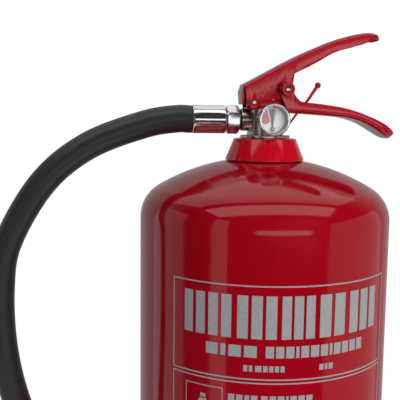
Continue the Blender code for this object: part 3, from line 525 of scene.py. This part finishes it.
# ---- vessel ---------------------------------------------------------------
CROWN_RADIUS = 0.1518
KNUCKLE_RADIUS = 0.0259
SHOULDER_Z = 0.4919
CROWN_CENTRE_Z = SHOULDER_Z - math.sqrt(
    (CROWN_RADIUS - KNUCKLE_RADIUS) ** 2 - (BODY_RADIUS - KNUCKLE_RADIUS) ** 2)
NECK_OPENING = 0.0198
SHELL_WALL = 0.0015


def shell_outline(inset):
    """Crown, knuckle and straight wall of the shell, moved inwards by the inset."""
    wall_steps = 8
    crown, knuckle = CROWN_RADIUS - inset, KNUCKLE_RADIUS - inset
    knuckle_x = BODY_RADIUS - KNUCKLE_RADIUS
    tangent = math.atan2(SHOULDER_Z - CROWN_CENTRE_Z, knuckle_x)
    start = math.acos(NECK_OPENING / crown)
    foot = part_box("cylinder_shell")[0][2]
    points = arc((0, CROWN_CENTRE_Z), crown, start, tangent, 24)
    points += arc((knuckle_x, SHOULDER_Z), knuckle, tangent, 0, 16)[1:]
    for index in range(1, wall_steps + 1):
        points.append((BODY_RADIUS - inset, SHOULDER_Z + (foot - SHOULDER_Z) * index / wall_steps))
    return points


def with_levels(outline, radius, count):
    """Extra points down the outline's long outer wall."""
    same_radius = 1e-4
    long_wall = 0.01
    points = []
    for here, after in zip(outline, outline[1:] + outline[:1]):
        points.append(here)
        on_wall = abs(here[0] - radius) < same_radius and abs(after[0] - radius) < same_radius
        if on_wall and here[1] - after[1] > long_wall:
            for index in range(1, count):
                points.append((radius, here[1] + (after[1] - here[1]) * index / count))
    return points


def make_vessel():
    """The painted shell and the plastic foot cup under it."""
    outline = shell_outline(0) + shell_outline(SHELL_WALL)[::-1]
    stand_in("cylinder_skin", turned_mesh("cylinder_skin", outline, 160), "cylinder_shell")

    low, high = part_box("base_boot")
    outer = high[0]
    inner = BODY_RADIUS + 0.0003
    floor = low[2] + 0.003
    flutes = 72
    flute_depth = 0.0006
    band_middle = high[2] * 0.45
    band_half = 0.012
    outline = [(outer, high[2]), (outer, low[2]), (0, low[2]), (0, floor), (inner, floor), (inner, high[2])]

    def fluted(radius, height, angle):
        """Shallow grip flutes below the cup's lip."""
        if radius < inner + 0.0002:
            return radius
        band = math.exp(-((height - band_middle) / band_half) ** 4)
        return radius - flute_depth * band * (0.5 + 0.5 * math.cos(flutes * angle))

    outline = with_levels(soften(outline, 0.0012), outer, 16)
    stand_in("foot_cup", turned_mesh("foot_cup", outline, 360, shape=fluted), "base_boot", sharp=50)


# ---- label ----------------------------------------------------------------
LABEL_INNER = BODY_RADIUS + 0.00005
LABEL_OUTER = LABEL_INNER + 0.00008
PATCH_STEP = 1.5
FRAME_LINE = 0.0009
PICTURE_LINE = 0.0006
# A bar too thin to show, which leaves a wider gap between its neighbours.
BREAK = 0.01


def on_wall(degrees, radius, z):
    """Point at an angle from the front, towards +X."""
    angle = math.radians(degrees)
    return (radius * math.sin(angle), -radius * math.cos(angle), z)


def label_patch(work, start, end, low, high):
    """Thin closed patch on the wall between two angles and two heights."""
    columns = max(2, int(abs(end - start) / PATCH_STEP) + 1)
    corners = ((LABEL_OUTER, low), (LABEL_OUTER, high), (LABEL_INNER, high), (LABEL_INNER, low))
    loops = []
    for index in range(columns + 1):
        degrees = start + (end - start) * index / columns
        loops.append([work.verts.new(on_wall(degrees, radius, z)) for radius, z in corners])
    for here, after in zip(loops, loops[1:]):
        bridge(work, here, after)
    work.faces.new(loops[0][::-1])
    work.faces.new(loops[-1])


def label_shape(work, corners):
    """Thin closed patch with slanted sides, from (angle, height) corners."""
    inner, outer = ([work.verts.new(on_wall(degrees, radius, z)) for degrees, z in corners]
                    for radius in (LABEL_INNER, LABEL_OUTER))
    prism(work, inner, outer)


def frame_lines(work, start, end, high, low, width):
    """Rectangle of thin lines between two angles; width in metres."""
    turn = math.degrees(width / BODY_RADIUS)
    label_patch(work, start, end, high - width, high)
    label_patch(work, start, end, low, low + width)
    label_patch(work, start, start + turn, low + width, high - width)
    label_patch(work, end - turn, end, low + width, high - width)


def bars(work, start, end, low, high, widths, gap):
    """Row of plain bars that stands for a line of print."""
    total = sum(widths) + gap * (len(widths) - 1)
    scale = (end - start) / total
    place = start
    for width in widths:
        label_patch(work, place, place + width * scale, low, high)
        place += (width + gap) * scale


def make_label():
    """Two framed panels: rows of plain bars, and a plain bottle in each picture box."""
    work = bmesh.new()
    z = HEAD_Z
    side = 51.4
    frame_lines(work, -side, side, z - 0.1036, z - 0.1640, FRAME_LINE)
    frame_lines(work, -side, side, z - 0.1656, z - 0.3000, FRAME_LINE)
    title = (z - 0.1375, z - 0.1100)
    subtitle = (z - 0.1495, z - 0.1420)
    rating = (z - 0.1585, z - 0.1546)
    for start, end, (low, high), widths, gap in (
            (-45.1, -24.0, title, [4.4, 4.4, 4.4, 4.4], 1.6),
            (-21.6, -5.8, title, [5.0, 5.0, 5.0], 1.6),
            (-3.8, 9.8, title, [4.6, 4.6, 4.6], 1.4),
            (12.0, 24.0, title, [5.2, 5.2], 1.6),
            (26.6, 44.1, title, [5.2, 5.2, 5.2], 1.6),
            (-34.6, -13.5, subtitle, [5.0, 2.0, 5.0, 5.0], 1.2),
            (-10.0, 34.4, subtitle, [5, 5, 5, 2, 5, 5.5, 5, 2, 5, 5, 5, 5], 1.2),
            (-18.8, -2.3, rating, [2, 1.6, BREAK, 3, 2.2, 2, 2, 2], 0.7),
            (12.3, 18.5, rating, [2, 1.2, 2], 0.6)):
        bars(work, start, end, low, high, widths, gap)
    for top in (z - 0.171, z - 0.209):
        frame_lines(work, -44.2, -27.1, top, top - 0.0340, PICTURE_LINE)
        label_shape(work, [(-38.6, top - 0.030), (-33.0, top - 0.030), (-33.0, top - 0.013),
                           (-34.4, top - 0.009), (-37.2, top - 0.009), (-38.6, top - 0.013)])
        label_shape(work, [(-37.0, top - 0.0082), (-34.6, top - 0.0082), (-34.6, top - 0.0058),
                           (-37.0, top - 0.0058)])
        for end, low, high, widths in (
                (9.6, 0.0080, 0.0031, [4, 4, 3, 4, BREAK, 4, 4, 4, 1.5, 4, 4, 4]),
                (30.0, 0.0180, 0.0140, [4, 3, 4, 4, 3, 5, 4, 3, 4, 4, 5, 3, 4]),
                (22.0, 0.0270, 0.0230, [3, 4, 4, 5, 3, 4, 3, 4, 4, 3])):
            bars(work, -24.8, end, top - low, top - high, widths, 1.1)
    new_piece("label_print", finished_mesh(work, "label_print"), PRINT, sharp=30)


# ---- collar and valve -----------------------------------------------------
def make_collar():
    """Conical plastic skirt, open underneath."""
    low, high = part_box("neck_collar")
    foot = high[0]
    top = 0.0223
    wall = 0.0015
    bore = 0.0150
    seam_depth = 0.00025
    seam_angle = 0.008
    outline = [(bore, high[2]), (top, high[2]), (foot, low[2]), (foot - wall, low[2]),
               (top - wall, high[2] - wall), (bore, high[2] - wall)]

    def seamed(radius, height, angle):
        """A fine mould seam at the front and at the back."""
        if radius < top - wall + 0.0001:
            return radius
        off = min(abs(angle - math.radians(270)), abs(angle - math.radians(90)))
        return radius - seam_depth * math.exp(-(off / seam_angle) ** 2)

    mesh = turned_mesh("collar_look", soften(outline, 0.0010, 5), 720, shape=seamed)
    stand_in("collar_look", mesh, "neck_collar", sharp=60)


def make_valve():
    """Valve body: barrel, flange, threaded plug, outlet and gauge bosses, and a stud."""
    low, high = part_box("valve_body")
    flange_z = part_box("neck_collar")[1][2] + 0.0003
    boss_root = 0.006
    neck = 0.0147
    thread_depth = 0.0006
    pitch = 0.0017
    plug_z = flange_z - 0.0260
    plug = [(0, flange_z + 0.001), (neck, flange_z + 0.001)]
    for index in range(14):
        z = flange_z - 0.001 - index * pitch
        plug += [(neck, z), (neck - thread_depth, z - 0.0006), (neck - thread_depth, z - 0.0010)]
    plug += [(neck, plug_z), (0.0100, plug_z), (0.0100, low[2]), (0, low[2])]
    outlet_place = (0, 0, OUTLET_Z)
    shapes = [(round_bar(0.0130, high[2], flange_z + 0.0015, 0.0006), (0, 0, 0), "Z"),
              (round_bar(0.0180, flange_z + 0.0020, flange_z, 0.0005), (0, 0, 0), "Z"),
              (plug, (0, 0, 0), "Z"),
              (round_bar(0.0080, -low[0], boss_root, 0.0006), outlet_place, "-X"),
              (round_bar(0.0065, -low[1], boss_root, 0.0006), outlet_place, "-Y"),
              (round_bar(0.0011, 0.0132, 0.0100, 0.0004), (-0.0085, 0, OUTLET_Z + 0.0014), "-Y")]
    base, *others = [turned_solid(outline, 64, at, axis) for outline, at, axis in shapes]
    stand_in("valve_casting", combined(base, [("UNION", other) for other in others]), "valve_body")


def make_spring():
    """The return spring, on a mesh of its own."""
    spring = refined("spindle_spring", 0, sharp=60)
    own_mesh(spring)


# ---- outlet and coupling --------------------------------------------------
OUTLET_BORE = 0.0053


def make_rings():
    """The bright washer and the dark ring at the outlet."""
    for name, node, slot, edge, steps in (("washer_look", "outlet_washer", "steel", 0.0004, 4),
                                          ("oring_look", "outlet_oring", "black_rubber", 0.0005, 6)):
        low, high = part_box(node)
        length = high[0] - low[0]
        radius = high[2] - OUTLET_Z
        outline = [(OUTLET_BORE, length), (radius, length), (radius, 0), (OUTLET_BORE, 0)]
        mesh = turned_mesh(name, soften(outline, edge, steps), 96, (high[0], 0, OUTLET_Z), "-X")
        stand_in(name, mesh, node, slot=slot)


def make_coupling():
    """The nut, the insert in the hose, and the crimped sleeve, lipped on the nut's side."""
    refined("hose_nut", 0.00035)
    refined("hose_tail", 0)
    low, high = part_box("hose_ferrule")
    length = high[0] - low[0]
    radius = high[2] - OUTLET_Z
    lip = 0.0022
    wall_steps = 13
    crimps = 10
    crimp_depth = 0.00022
    outline = [(OUTLET_BORE, 0)] + arc((radius - lip, lip), lip, -math.pi / 2, 0, 6)
    for index in range(1, wall_steps):
        outline.append((radius, lip + (length - 0.0030) * index / wall_steps))
    outline += [(radius, length - 0.0006), (radius - 0.0004, length - 0.0001), (radius - 0.0008, length),
                (OUTLET_BORE, length)]

    def crimped(out, along, angle):
        """Shallow lengthwise crimp flats, deepest in the middle of the sleeve."""
        if out < radius - 0.0021:
            return out
        middle = math.exp(-((along - length * 0.52) / (length * 0.40)) ** 6)
        return out - crimp_depth * middle * (0.5 + 0.5 * math.cos(crimps * angle)) ** 2

    mesh = turned_mesh("ferrule_look", outline, 200, (high[0], 0, OUTLET_Z), "-X", crimped)
    stand_in("ferrule_look", mesh, "hose_ferrule", sharp=60)


# ---- gauge ----------------------------------------------------------------
def sector(name, hub, rim, start, end, y, look):
    """Thin print on the dial between two angles in degrees about the needle's pivot.

    The hub is a radius about the pivot, and the rim one about the gauge's middle.
    """
    ink = 0.00004
    above = NEEDLE.z - OUTLET_Z
    steps = max(4, int(abs(end - start) / 4))
    inner, outer = [], []
    for index in range(steps + 1):
        angle = math.radians(start + (end - start) * index / steps)
        out = Vector((math.cos(angle), math.sin(angle)))
        along = out.y * above
        reach = -along + math.sqrt(along ** 2 + rim ** 2 - above ** 2)
        outer.append((out.x * reach, NEEDLE.z + out.y * reach))
        inner.append((out.x * hub, NEEDLE.z + out.y * hub))
    work = bmesh.new()
    back, front = ([work.verts.new((x, depth, z)) for x, z in outer + inner[::-1]]
                   for depth in (y, y - ink))
    prism(work, back, front)
    return new_piece(name, finished_mesh(work, name), look)


def make_gauge():
    """Case, bezel, printed dial, needle and domed lens."""
    lip = 0.0093
    case_radius = 0.0102
    case_wall = 0.0010
    lens_rise = 0.0010
    lens_steps = 12

    low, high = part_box("gauge_bezel")
    radius = high[0]
    depth = high[1] - low[1]
    inside = case_radius + 0.0003
    back = depth - 0.0016
    outline = [(lip, depth), (lip + 0.0004, depth - 0.0001), (radius - 0.0007, depth),
               (radius, depth - 0.0007), (radius, 0), (inside, 0), (inside, back), (lip, back)]
    mesh = turned_mesh("bezel_look", soften(outline, 0.0003), 128, (0, high[1], OUTLET_Z), "-Y")
    stand_in("bezel_look", mesh, "gauge_bezel")

    low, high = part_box("gauge_case")
    depth = high[1] - low[1]
    bore = case_radius - case_wall
    outline = [(bore, depth), (case_radius, depth), (case_radius, 0), (0, 0), (0, case_wall),
               (bore, case_wall)]
    mesh = turned_mesh("case_look", soften(outline, 0.0006), 128, (0, high[1], OUTLET_Z), "-Y")
    stand_in("case_look", mesh, "gauge_case")

    low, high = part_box("gauge_dial")
    dial_radius = high[0]
    outline = round_bar(dial_radius, high[1] - low[1], 0, 0.0001)
    mesh = turned_mesh("dial_look", outline, 96, (0, high[1], OUTLET_Z), "-Y")
    stand_in("dial_look", mesh, "gauge_dial")

    face = low[1] - 0.00002
    sector("dial_red_low", 0.0052, 0.0077, 106, 147, face, DIAL_RED)
    sector("dial_red_high", 0.0040, 0.0077, 77, 80, face, DIAL_RED)
    sector("dial_green", 0.0030, 0.0079, 82, 102, face, DIAL_GREEN)
    mark_half = 0.7
    for angle in (160, 40, 20):
        sector(f"dial_mark_{angle}", 0.0095, dial_radius - 0.0004, angle - mark_half, angle + mark_half,
               face, LOOKS["needle_paint"])

    refined("gauge_needle", 0, "gauge_needle")
    refined("gauge_pivot", 0.0001)

    low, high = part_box("gauge_lens")
    rim = high[0]
    thickness = high[1] - low[1]
    outline = [(0, thickness)]
    for index in range(1, lens_steps + 1):
        out = rim * index / lens_steps
        outline.append((out, thickness - lens_rise * (out / rim) ** 2))
    outline += [(rim, 0), (0, 0)]
    stand_in("lens_look", turned_mesh("lens_look", outline, 96, (0, high[1], OUTLET_Z), "-Y"), "gauge_lens")


# ---- levers ---------------------------------------------------------------
LEVER_EDGE = 0.00035
PIVOT_HOLE = 0.0019
PIN_HOLE = 0.0020


def channel_section(half_width, wall, bend, depth):
    """Closed (across, depth) outline of a U: its web is at depth 0."""
    centre = (half_width - bend, bend)
    outer, inner = ([(half_width - inset, depth)] + arc(centre, bend - inset, 0, -math.pi / 2, 8)
                    for inset in (0, wall))
    return (outer + [(-across, down) for across, down in reversed(outer)]
            + [(-across, down) for across, down in inner] + list(reversed(inner)))


def denser(stations, steps=3):
    """Smooth stations through the given ones."""
    knots = [Vector(station) for station in stations]
    return [tuple(station) for station in smooth_points([knots[0]] + knots + [knots[-1]], steps)]


def channel(name, stations, wall, bend):
    """Bent channel lofted through stations.

    A station is (web x, web z, edge x, edge z, half width) in millimetres from
    the head level: a point of the web's outer face, and the flange edge there.
    """
    webs = [Vector((s[0], s[1])) for s in stations]
    work = bmesh.new()
    loops = []
    for index, (web_x, web_z, edge_x, edge_z, half_width) in enumerate(stations):
        ahead = webs[min(index + 1, len(webs) - 1)] - webs[max(index - 1, 0)]
        down = Vector((edge_x - web_x, edge_z - web_z))
        depth = down.length
        down.normalize()
        ahead.normalize()
        slant = abs(ahead.x * down.y - ahead.y * down.x)
        loop = []
        for across, deep in channel_section(half_width, wall, bend, depth * slant):
            x = web_x + down.x * deep / slant
            z = web_z + down.y * deep / slant
            loop.append(work.verts.new((x / 1000, across / 1000, HEAD_Z + z / 1000)))
        loops.append(loop)
    for here, after in zip(loops, loops[1:]):
        bridge(work, here, after)
    work.faces.new(loops[0])
    work.faces.new(loops[-1][::-1])
    return linked(name, finished_mesh(work, name))


def make_handle():
    """Fixed lower handle: the grip, and the bracket that holds it on the valve."""
    wide = 13.7
    narrow = 8.6
    stations = [(13.6, 2.5, 6.9, 17.8, wide), (14.6, 2.5, 7.6, 22.3, wide), (15.6, 2.4, 11.3, 24.6, wide),
                (17.0, 2.4, 15.4, 22.9, wide), (18.6, 2.3, 17.2, 17.0, wide),
                (21.5, 2.1, 20.8, 12.0, wide), (25.0, 2.0, 24.5, 10.2, wide),
                (36.5, 1.3, 36.3, 9.0, wide), (49.0, 0.4, 50.5, 7.1, wide),
                (59.3, -0.8, 61.0, 4.8, wide), (69.0, -3.5, 71.0, 1.4, wide),
                (77.0, -7.4, 80.0, -2.2, wide), (83.0, -11.0, 87.0, -6.0, wide - 0.3),
                (87.5, -13.8, 91.5, -9.5, wide - 1.5), (90.0, -15.3, 93.6, -12.0, wide - 4.5)]
    grip = channel("grip", denser(stations), 1.6, 3.0)
    pivot_x = PIVOT.x * 1000
    pivot_z = (PIVOT.z - HEAD_Z) * 1000
    floor = 4.4
    stations = [(-15.4, floor, -15.3, pivot_z, narrow), (-13.9, floor, -13.9, pivot_z + 3.4, narrow),
                (pivot_x, floor, pivot_x, pivot_z + 4.9, narrow),
                (-6.9, floor, -6.9, pivot_z + 3.4, narrow), (-3.5, floor, -3.5, 11.6, narrow),
                (13.3, floor, 13.0, 11.6, narrow), (16.8, 3.0, 16.0, 9.5, narrow),
                (20.0, 2.8, 20.0, 8.0, narrow)]
    bracket = channel("bracket", stations, 1.6, 2.2)
    seal_slot = slab([(0.0167, HEAD_Z - 0.0040), (0.0209, HEAD_Z - 0.0040), (0.0295, HEAD_Z + 0.0070),
                      (0.0253, HEAD_Z + 0.0070)], 0.0034)
    spindle_hole = cutting_rod(0.0045, (0, 0, HEAD_Z + 0.004), "Z", 0.012)
    outlet_hole = cutting_rod(0.0083, (-0.0167, 0, OUTLET_Z), "X", 0.020)
    steps = [("UNION", bracket), ("DIFFERENCE", cutting_rod(PIVOT_HOLE, PIVOT, "-Y")),
             ("DIFFERENCE", cutting_rod(PIN_HOLE, PIN, "-Y")), ("DIFFERENCE", spindle_hole),
             ("DIFFERENCE", outlet_hole), ("DIFFERENCE", seal_slot)]
    stand_in("handle_look", combined(grip, steps, LEVER_EDGE), "carry_handle")


def pin_slot():
    """Outline of the slot about the pivot that clears the safety pin through the stroke."""
    pivot = (PIVOT.x, PIVOT.z)
    reach = (PIN - PIVOT).xz.length
    rest = math.atan2(PIN.z - PIVOT.z, PIN.x - PIVOT.x)
    end = rest + math.radians(9.4)
    outline = []
    for side, turn_from, turn_to in ((PIN_HOLE, rest, end), (-PIN_HOLE, end, rest)):
        outline += arc(pivot, reach + side, turn_from, turn_to, 4)
        centre = (PIVOT.x + reach * math.cos(turn_to), PIVOT.z + reach * math.sin(turn_to))
        first = turn_to if side > 0 else turn_to + math.pi
        outline += arc(centre, PIN_HOLE, first, first + math.pi, 12)[1:-1]
    return outline


def make_lever():
    """Upper lever: a channel with a closed rear end, a pivot hole and the pin's slot."""
    wide = 11.5
    x = PIVOT.x * 1000
    z = (PIVOT.z - HEAD_Z) * 1000
    lug = 4.9
    stations = [(-17.5, 22.2, x - lug, z, wide), (-14.2, 23.9, x - 3.5, z - 3.4, wide),
                (-10.8, 25.7, x, z - lug, wide), (-7.6, 27.4, x + 3.5, z - 3.4, wide),
                (-4.5, 29.1, x + 5.6, 10.0, wide), (3.0, 33.2, 1.5, 11.4, wide),
                (10.9, 37.5, 7.5, 12.6, wide), (15.0, 39.6, 13.2, 14.0, wide),
                (18.6, 41.5, 16.3, 18.0, wide), (20.4, 42.4, 16.9, 26.4, wide),
                (22.0, 43.2, 17.6, 29.4, wide), (25.0, 44.6, 20.4, 31.2, wide),
                (31.0, 47.3, 28.0, 34.9, wide), (38.2, 50.4, 36.5, 39.5, wide),
                (46.8, 54.0, 46.1, 45.0, wide), (57.8, 57.3, 58.0, 48.9, wide),
                (65.8, 59.0, 66.5, 51.1, wide), (71.5, 59.7, 71.9, 53.4, wide),
                (75.5, 59.5, 75.6, 54.6, wide - 0.6), (78.6, 58.9, 78.5, 55.0, wide - 1.9),
                (80.4, 58.3, 80.2, 54.9, wide - 3.6), (81.2, 57.9, 81.0, 54.8, wide - 5.4)]
    lever = channel("lever", denser(stations), 1.5, 2.8)
    wall = [(-14.5, 23.5), (-17.1, 22.2), (-19.0, 17.6), (-18.2, 8.2), (-16.6, 8.2), (-17.3, 17.4),
            (-16.2, 20.4), (-14.0, 22.0)]
    rear = slab([(across / 1000, HEAD_Z + up / 1000) for across, up in wall], 0.017)
    steps = [("UNION", rear), ("DIFFERENCE", cutting_rod(PIVOT_HOLE, PIVOT, "-Y")),
             ("DIFFERENCE", slab(pin_slot(), 0.060))]
    stand_in("lever_look", combined(lever, steps, LEVER_EDGE), "operating_lever", "operating_lever")


def make_stamped_bars():
    """Short raised bars on the lever's front flange, in place of letters."""
    flange_y = -0.01146
    rise = 0.00055
    draft = 0.00020
    gap = 0.8
    slope = Vector((0.89, 0, 0.455))
    along = slope.normalized()
    across = Vector((-along.z, 0, along.x))
    work = bmesh.new()
    for start_x, start_z, height, widths in (
            (-0.0112, 0.0172, 0.0028, [0.9, 1.6, 0.9, 1.3, 1.6, 0.9, 1.4, 0.9, 1.6, 0.9]),
            (-0.0076, 0.0136, 0.0026, [1.4, 0.9, 1.5, 0.9, 1.3, 1.6, 0.9])):
        place = Vector((start_x, flange_y, HEAD_Z + start_z))
        for width in widths:
            length = width / 1000
            loops = []
            for y, inset in ((0, 0), (-rise, draft)):
                corner = place + Vector((0, y, 0))
                sides = ((inset, inset), (length - inset, inset), (length - inset, height - inset),
                         (inset, height - inset))
                loops.append([work.verts.new(corner + along * u + across * v) for u, v in sides])
            prism(work, *loops)
            place = place + slope * (width + gap) / 1000
    new_piece("stamped_bars", finished_mesh(work, "stamped_bars"), LOOKS["lever_paint"],
              "operating_lever")


# ---- pins, seal and small parts -------------------------------------------
def make_pins():
    """Safety pin with its cap and ring, and the lever's pivot pin."""
    low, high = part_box("pin_cap")
    radius = (high[0] - low[0]) / 2
    length = high[1] - low[1]
    recess = 0.0032
    shoulder = length - 0.0012
    outline = [(radius, length), (radius, 0), (PIN_HOLE, 0), (PIN_HOLE, shoulder), (recess, shoulder),
               (recess, length)]
    mesh = turned_mesh("cap_look", soften(outline, 0.0005), 64, (PIN.x, high[1], PIN.z), "-Y")
    stand_in("cap_look", mesh, "pin_cap", slot="lever_paint")
    refined("safety_pin", 0.0003, "safety_pin")

    low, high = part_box("pull_ring")
    wire = (high[1] - low[1]) / 2
    radius = (high[0] - low[0]) / 2 - wire
    stand_in("ring_look", torus_mesh("ring_look", (low + high) / 2, radius, wire), "pull_ring", "pull_ring")

    half = 0.0117
    mesh = turned_mesh("pivot_look", round_bar(0.0016, half, -half, 0.0004), 48, PIVOT, "-Y")
    stand_in("pivot_look", mesh, "pivot_pin")


def make_seal():
    """Break-away seal: a tapering stick through the handle with a ball on its end."""
    ball = 0.0022
    thickness = 0.00087
    ball_steps = 12
    # (x, height above the head level, share of the thickness)
    line = [(0.0376, 0.0212, 1.45), (0.0360, 0.0188, 1.4), (0.0304, 0.0105, 1.2), (0.0230, 0.0014, 1.0),
            (0.0193, -0.0037, 0.85), (0.0150, -0.0096, 0.8)]
    shaft = denser([(x, 0, HEAD_Z + z, share) for x, z, share in line], 5)
    points = [Vector(station[:3]) for station in shaft]
    scales = [station[3] for station in shaft]
    lean = (points[0] - points[4]).normalized()
    ball_points = []
    ball_scales = []
    for index in range(ball_steps):
        angle = math.pi * (index + 0.5) / (ball_steps + 2)
        ball_points.append(points[0] + lean * ball * (0.75 + math.cos(angle)))
        ball_scales.append(ball * math.sin(angle) / thickness)
    mesh = tube_mesh("seal_look", ball_points + points[1:], thickness, 24, ball_scales + scales[1:])
    stand_in("seal_look", mesh, "tamper_seal", sharp=70)


def make_fixings():
    """The handle's screws, the band round the cylinder and the nozzle's clip."""
    for node, edge in (("handle_screw_near", 0.0002), ("handle_screw_far", 0.0002),
                       ("hose_strap", 0.0002), ("nozzle_clip", 0.0004)):
        refined(node, edge)


# ---- floor and light ------------------------------------------------------
FLOOR_RADIUS = 0.78
FLOOR_TOP = -0.0005
FLOOR_THICKNESS = 0.002
AIM = Vector((0, 0, 0.45))
FRONT_GLOW = 0.02
BACK_GLOW = 0.40


def make_floor():
    """White disc, small enough not to show in the paint."""
    bottom = FLOOR_TOP - FLOOR_THICKNESS
    outline = [(0, FLOOR_TOP), (FLOOR_RADIUS, FLOOR_TOP), (FLOOR_RADIUS, bottom), (0, bottom)]
    mesh = turned_mesh("floor", outline, 128)
    mesh.materials.append(Shader("floor_white", (0.88, 0.88, 0.88), 0.7).material)
    linked("floor", mesh)


def panel(name, azimuth, rise, distance, width, height, radiance, gloss=True):
    """Soft panel aimed at the head; azimuth from -Y towards +X, rise above level, in degrees."""
    turn, tilt = math.radians(azimuth), math.radians(rise)
    out = Vector((math.sin(turn) * math.cos(tilt), -math.cos(turn) * math.cos(tilt), math.sin(tilt)))
    data = bpy.data.lights.new(name, "AREA")
    data.shape = "RECTANGLE"
    data.size = width
    data.size_y = height
    data.energy = radiance * math.pi * width * height
    lamp = linked(name, data)
    lamp.location = AIM + distance * out
    lamp.rotation_euler = (-out).to_track_quat("-Z", "Y").to_euler()
    lamp.visible_camera = False
    lamp.visible_glossy = gloss


def make_world():
    """White to the camera; to other rays dark in front and brighter behind."""
    world = bpy.data.worlds.new("studio")
    bpy.context.scene.world = world
    world.use_nodes = True
    tree = world.node_tree
    tree.nodes.clear()
    place = tree.nodes.new("ShaderNodeTexCoord")
    split = tree.nodes.new("ShaderNodeSeparateXYZ")
    tree.links.new(place.outputs["Generated"], split.inputs["Vector"])
    depth = tree.nodes.new("ShaderNodeMapRange")
    depth.inputs["From Min"].default_value = 0.0
    depth.inputs["From Max"].default_value = 0.8
    depth.inputs["To Min"].default_value = FRONT_GLOW
    depth.inputs["To Max"].default_value = BACK_GLOW
    depth.interpolation_type = "SMOOTHSTEP"
    tree.links.new(split.outputs["Y"], depth.inputs["Value"])
    ray = tree.nodes.new("ShaderNodeLightPath")
    seen = tree.nodes.new("ShaderNodeMath")
    seen.operation = "MAXIMUM"
    tree.links.new(depth.outputs["Result"], seen.inputs[0])
    tree.links.new(ray.outputs["Is Camera Ray"], seen.inputs[1])
    shade = tree.nodes.new("ShaderNodeBackground")
    shade.inputs["Color"].default_value = (1, 1, 1, 1)
    tree.links.new(seen.outputs["Value"], shade.inputs["Strength"])
    out = tree.nodes.new("ShaderNodeOutputWorld")
    tree.links.new(shade.outputs["Background"], out.inputs["Surface"])


def make_panels():
    """Six panels for the reflections, and one that only fills in."""
    panel("top_front", 0, 67, 1.6, 3.0, 0.85, 1.40)
    panel("top_back", 180, 70, 1.6, 3.0, 1.00, 0.60)
    panel("front_strip", 6, 3, 1.5, 1.3, 0.30, 1.35)
    panel("left_strip", -49, -4, 1.45, 0.36, 2.0, 0.60)
    panel("left_wall", -105, -6, 1.45, 1.10, 2.0, 0.40)
    panel("right_wall", 80, -10, 1.5, 2.0, 1.8, 0.36)
    panel("fill", 22, 14, 1.5, 1.2, 1.2, 4.8, gloss=False)


make_vessel()
make_label()
make_collar()
make_valve()
make_spring()
make_rings()
make_coupling()
make_hose()
make_gauge()
make_handle()
make_lever()
make_stamped_bars()
make_pins()
make_seal()
make_fixings()
make_floor()
make_world()
make_panels()
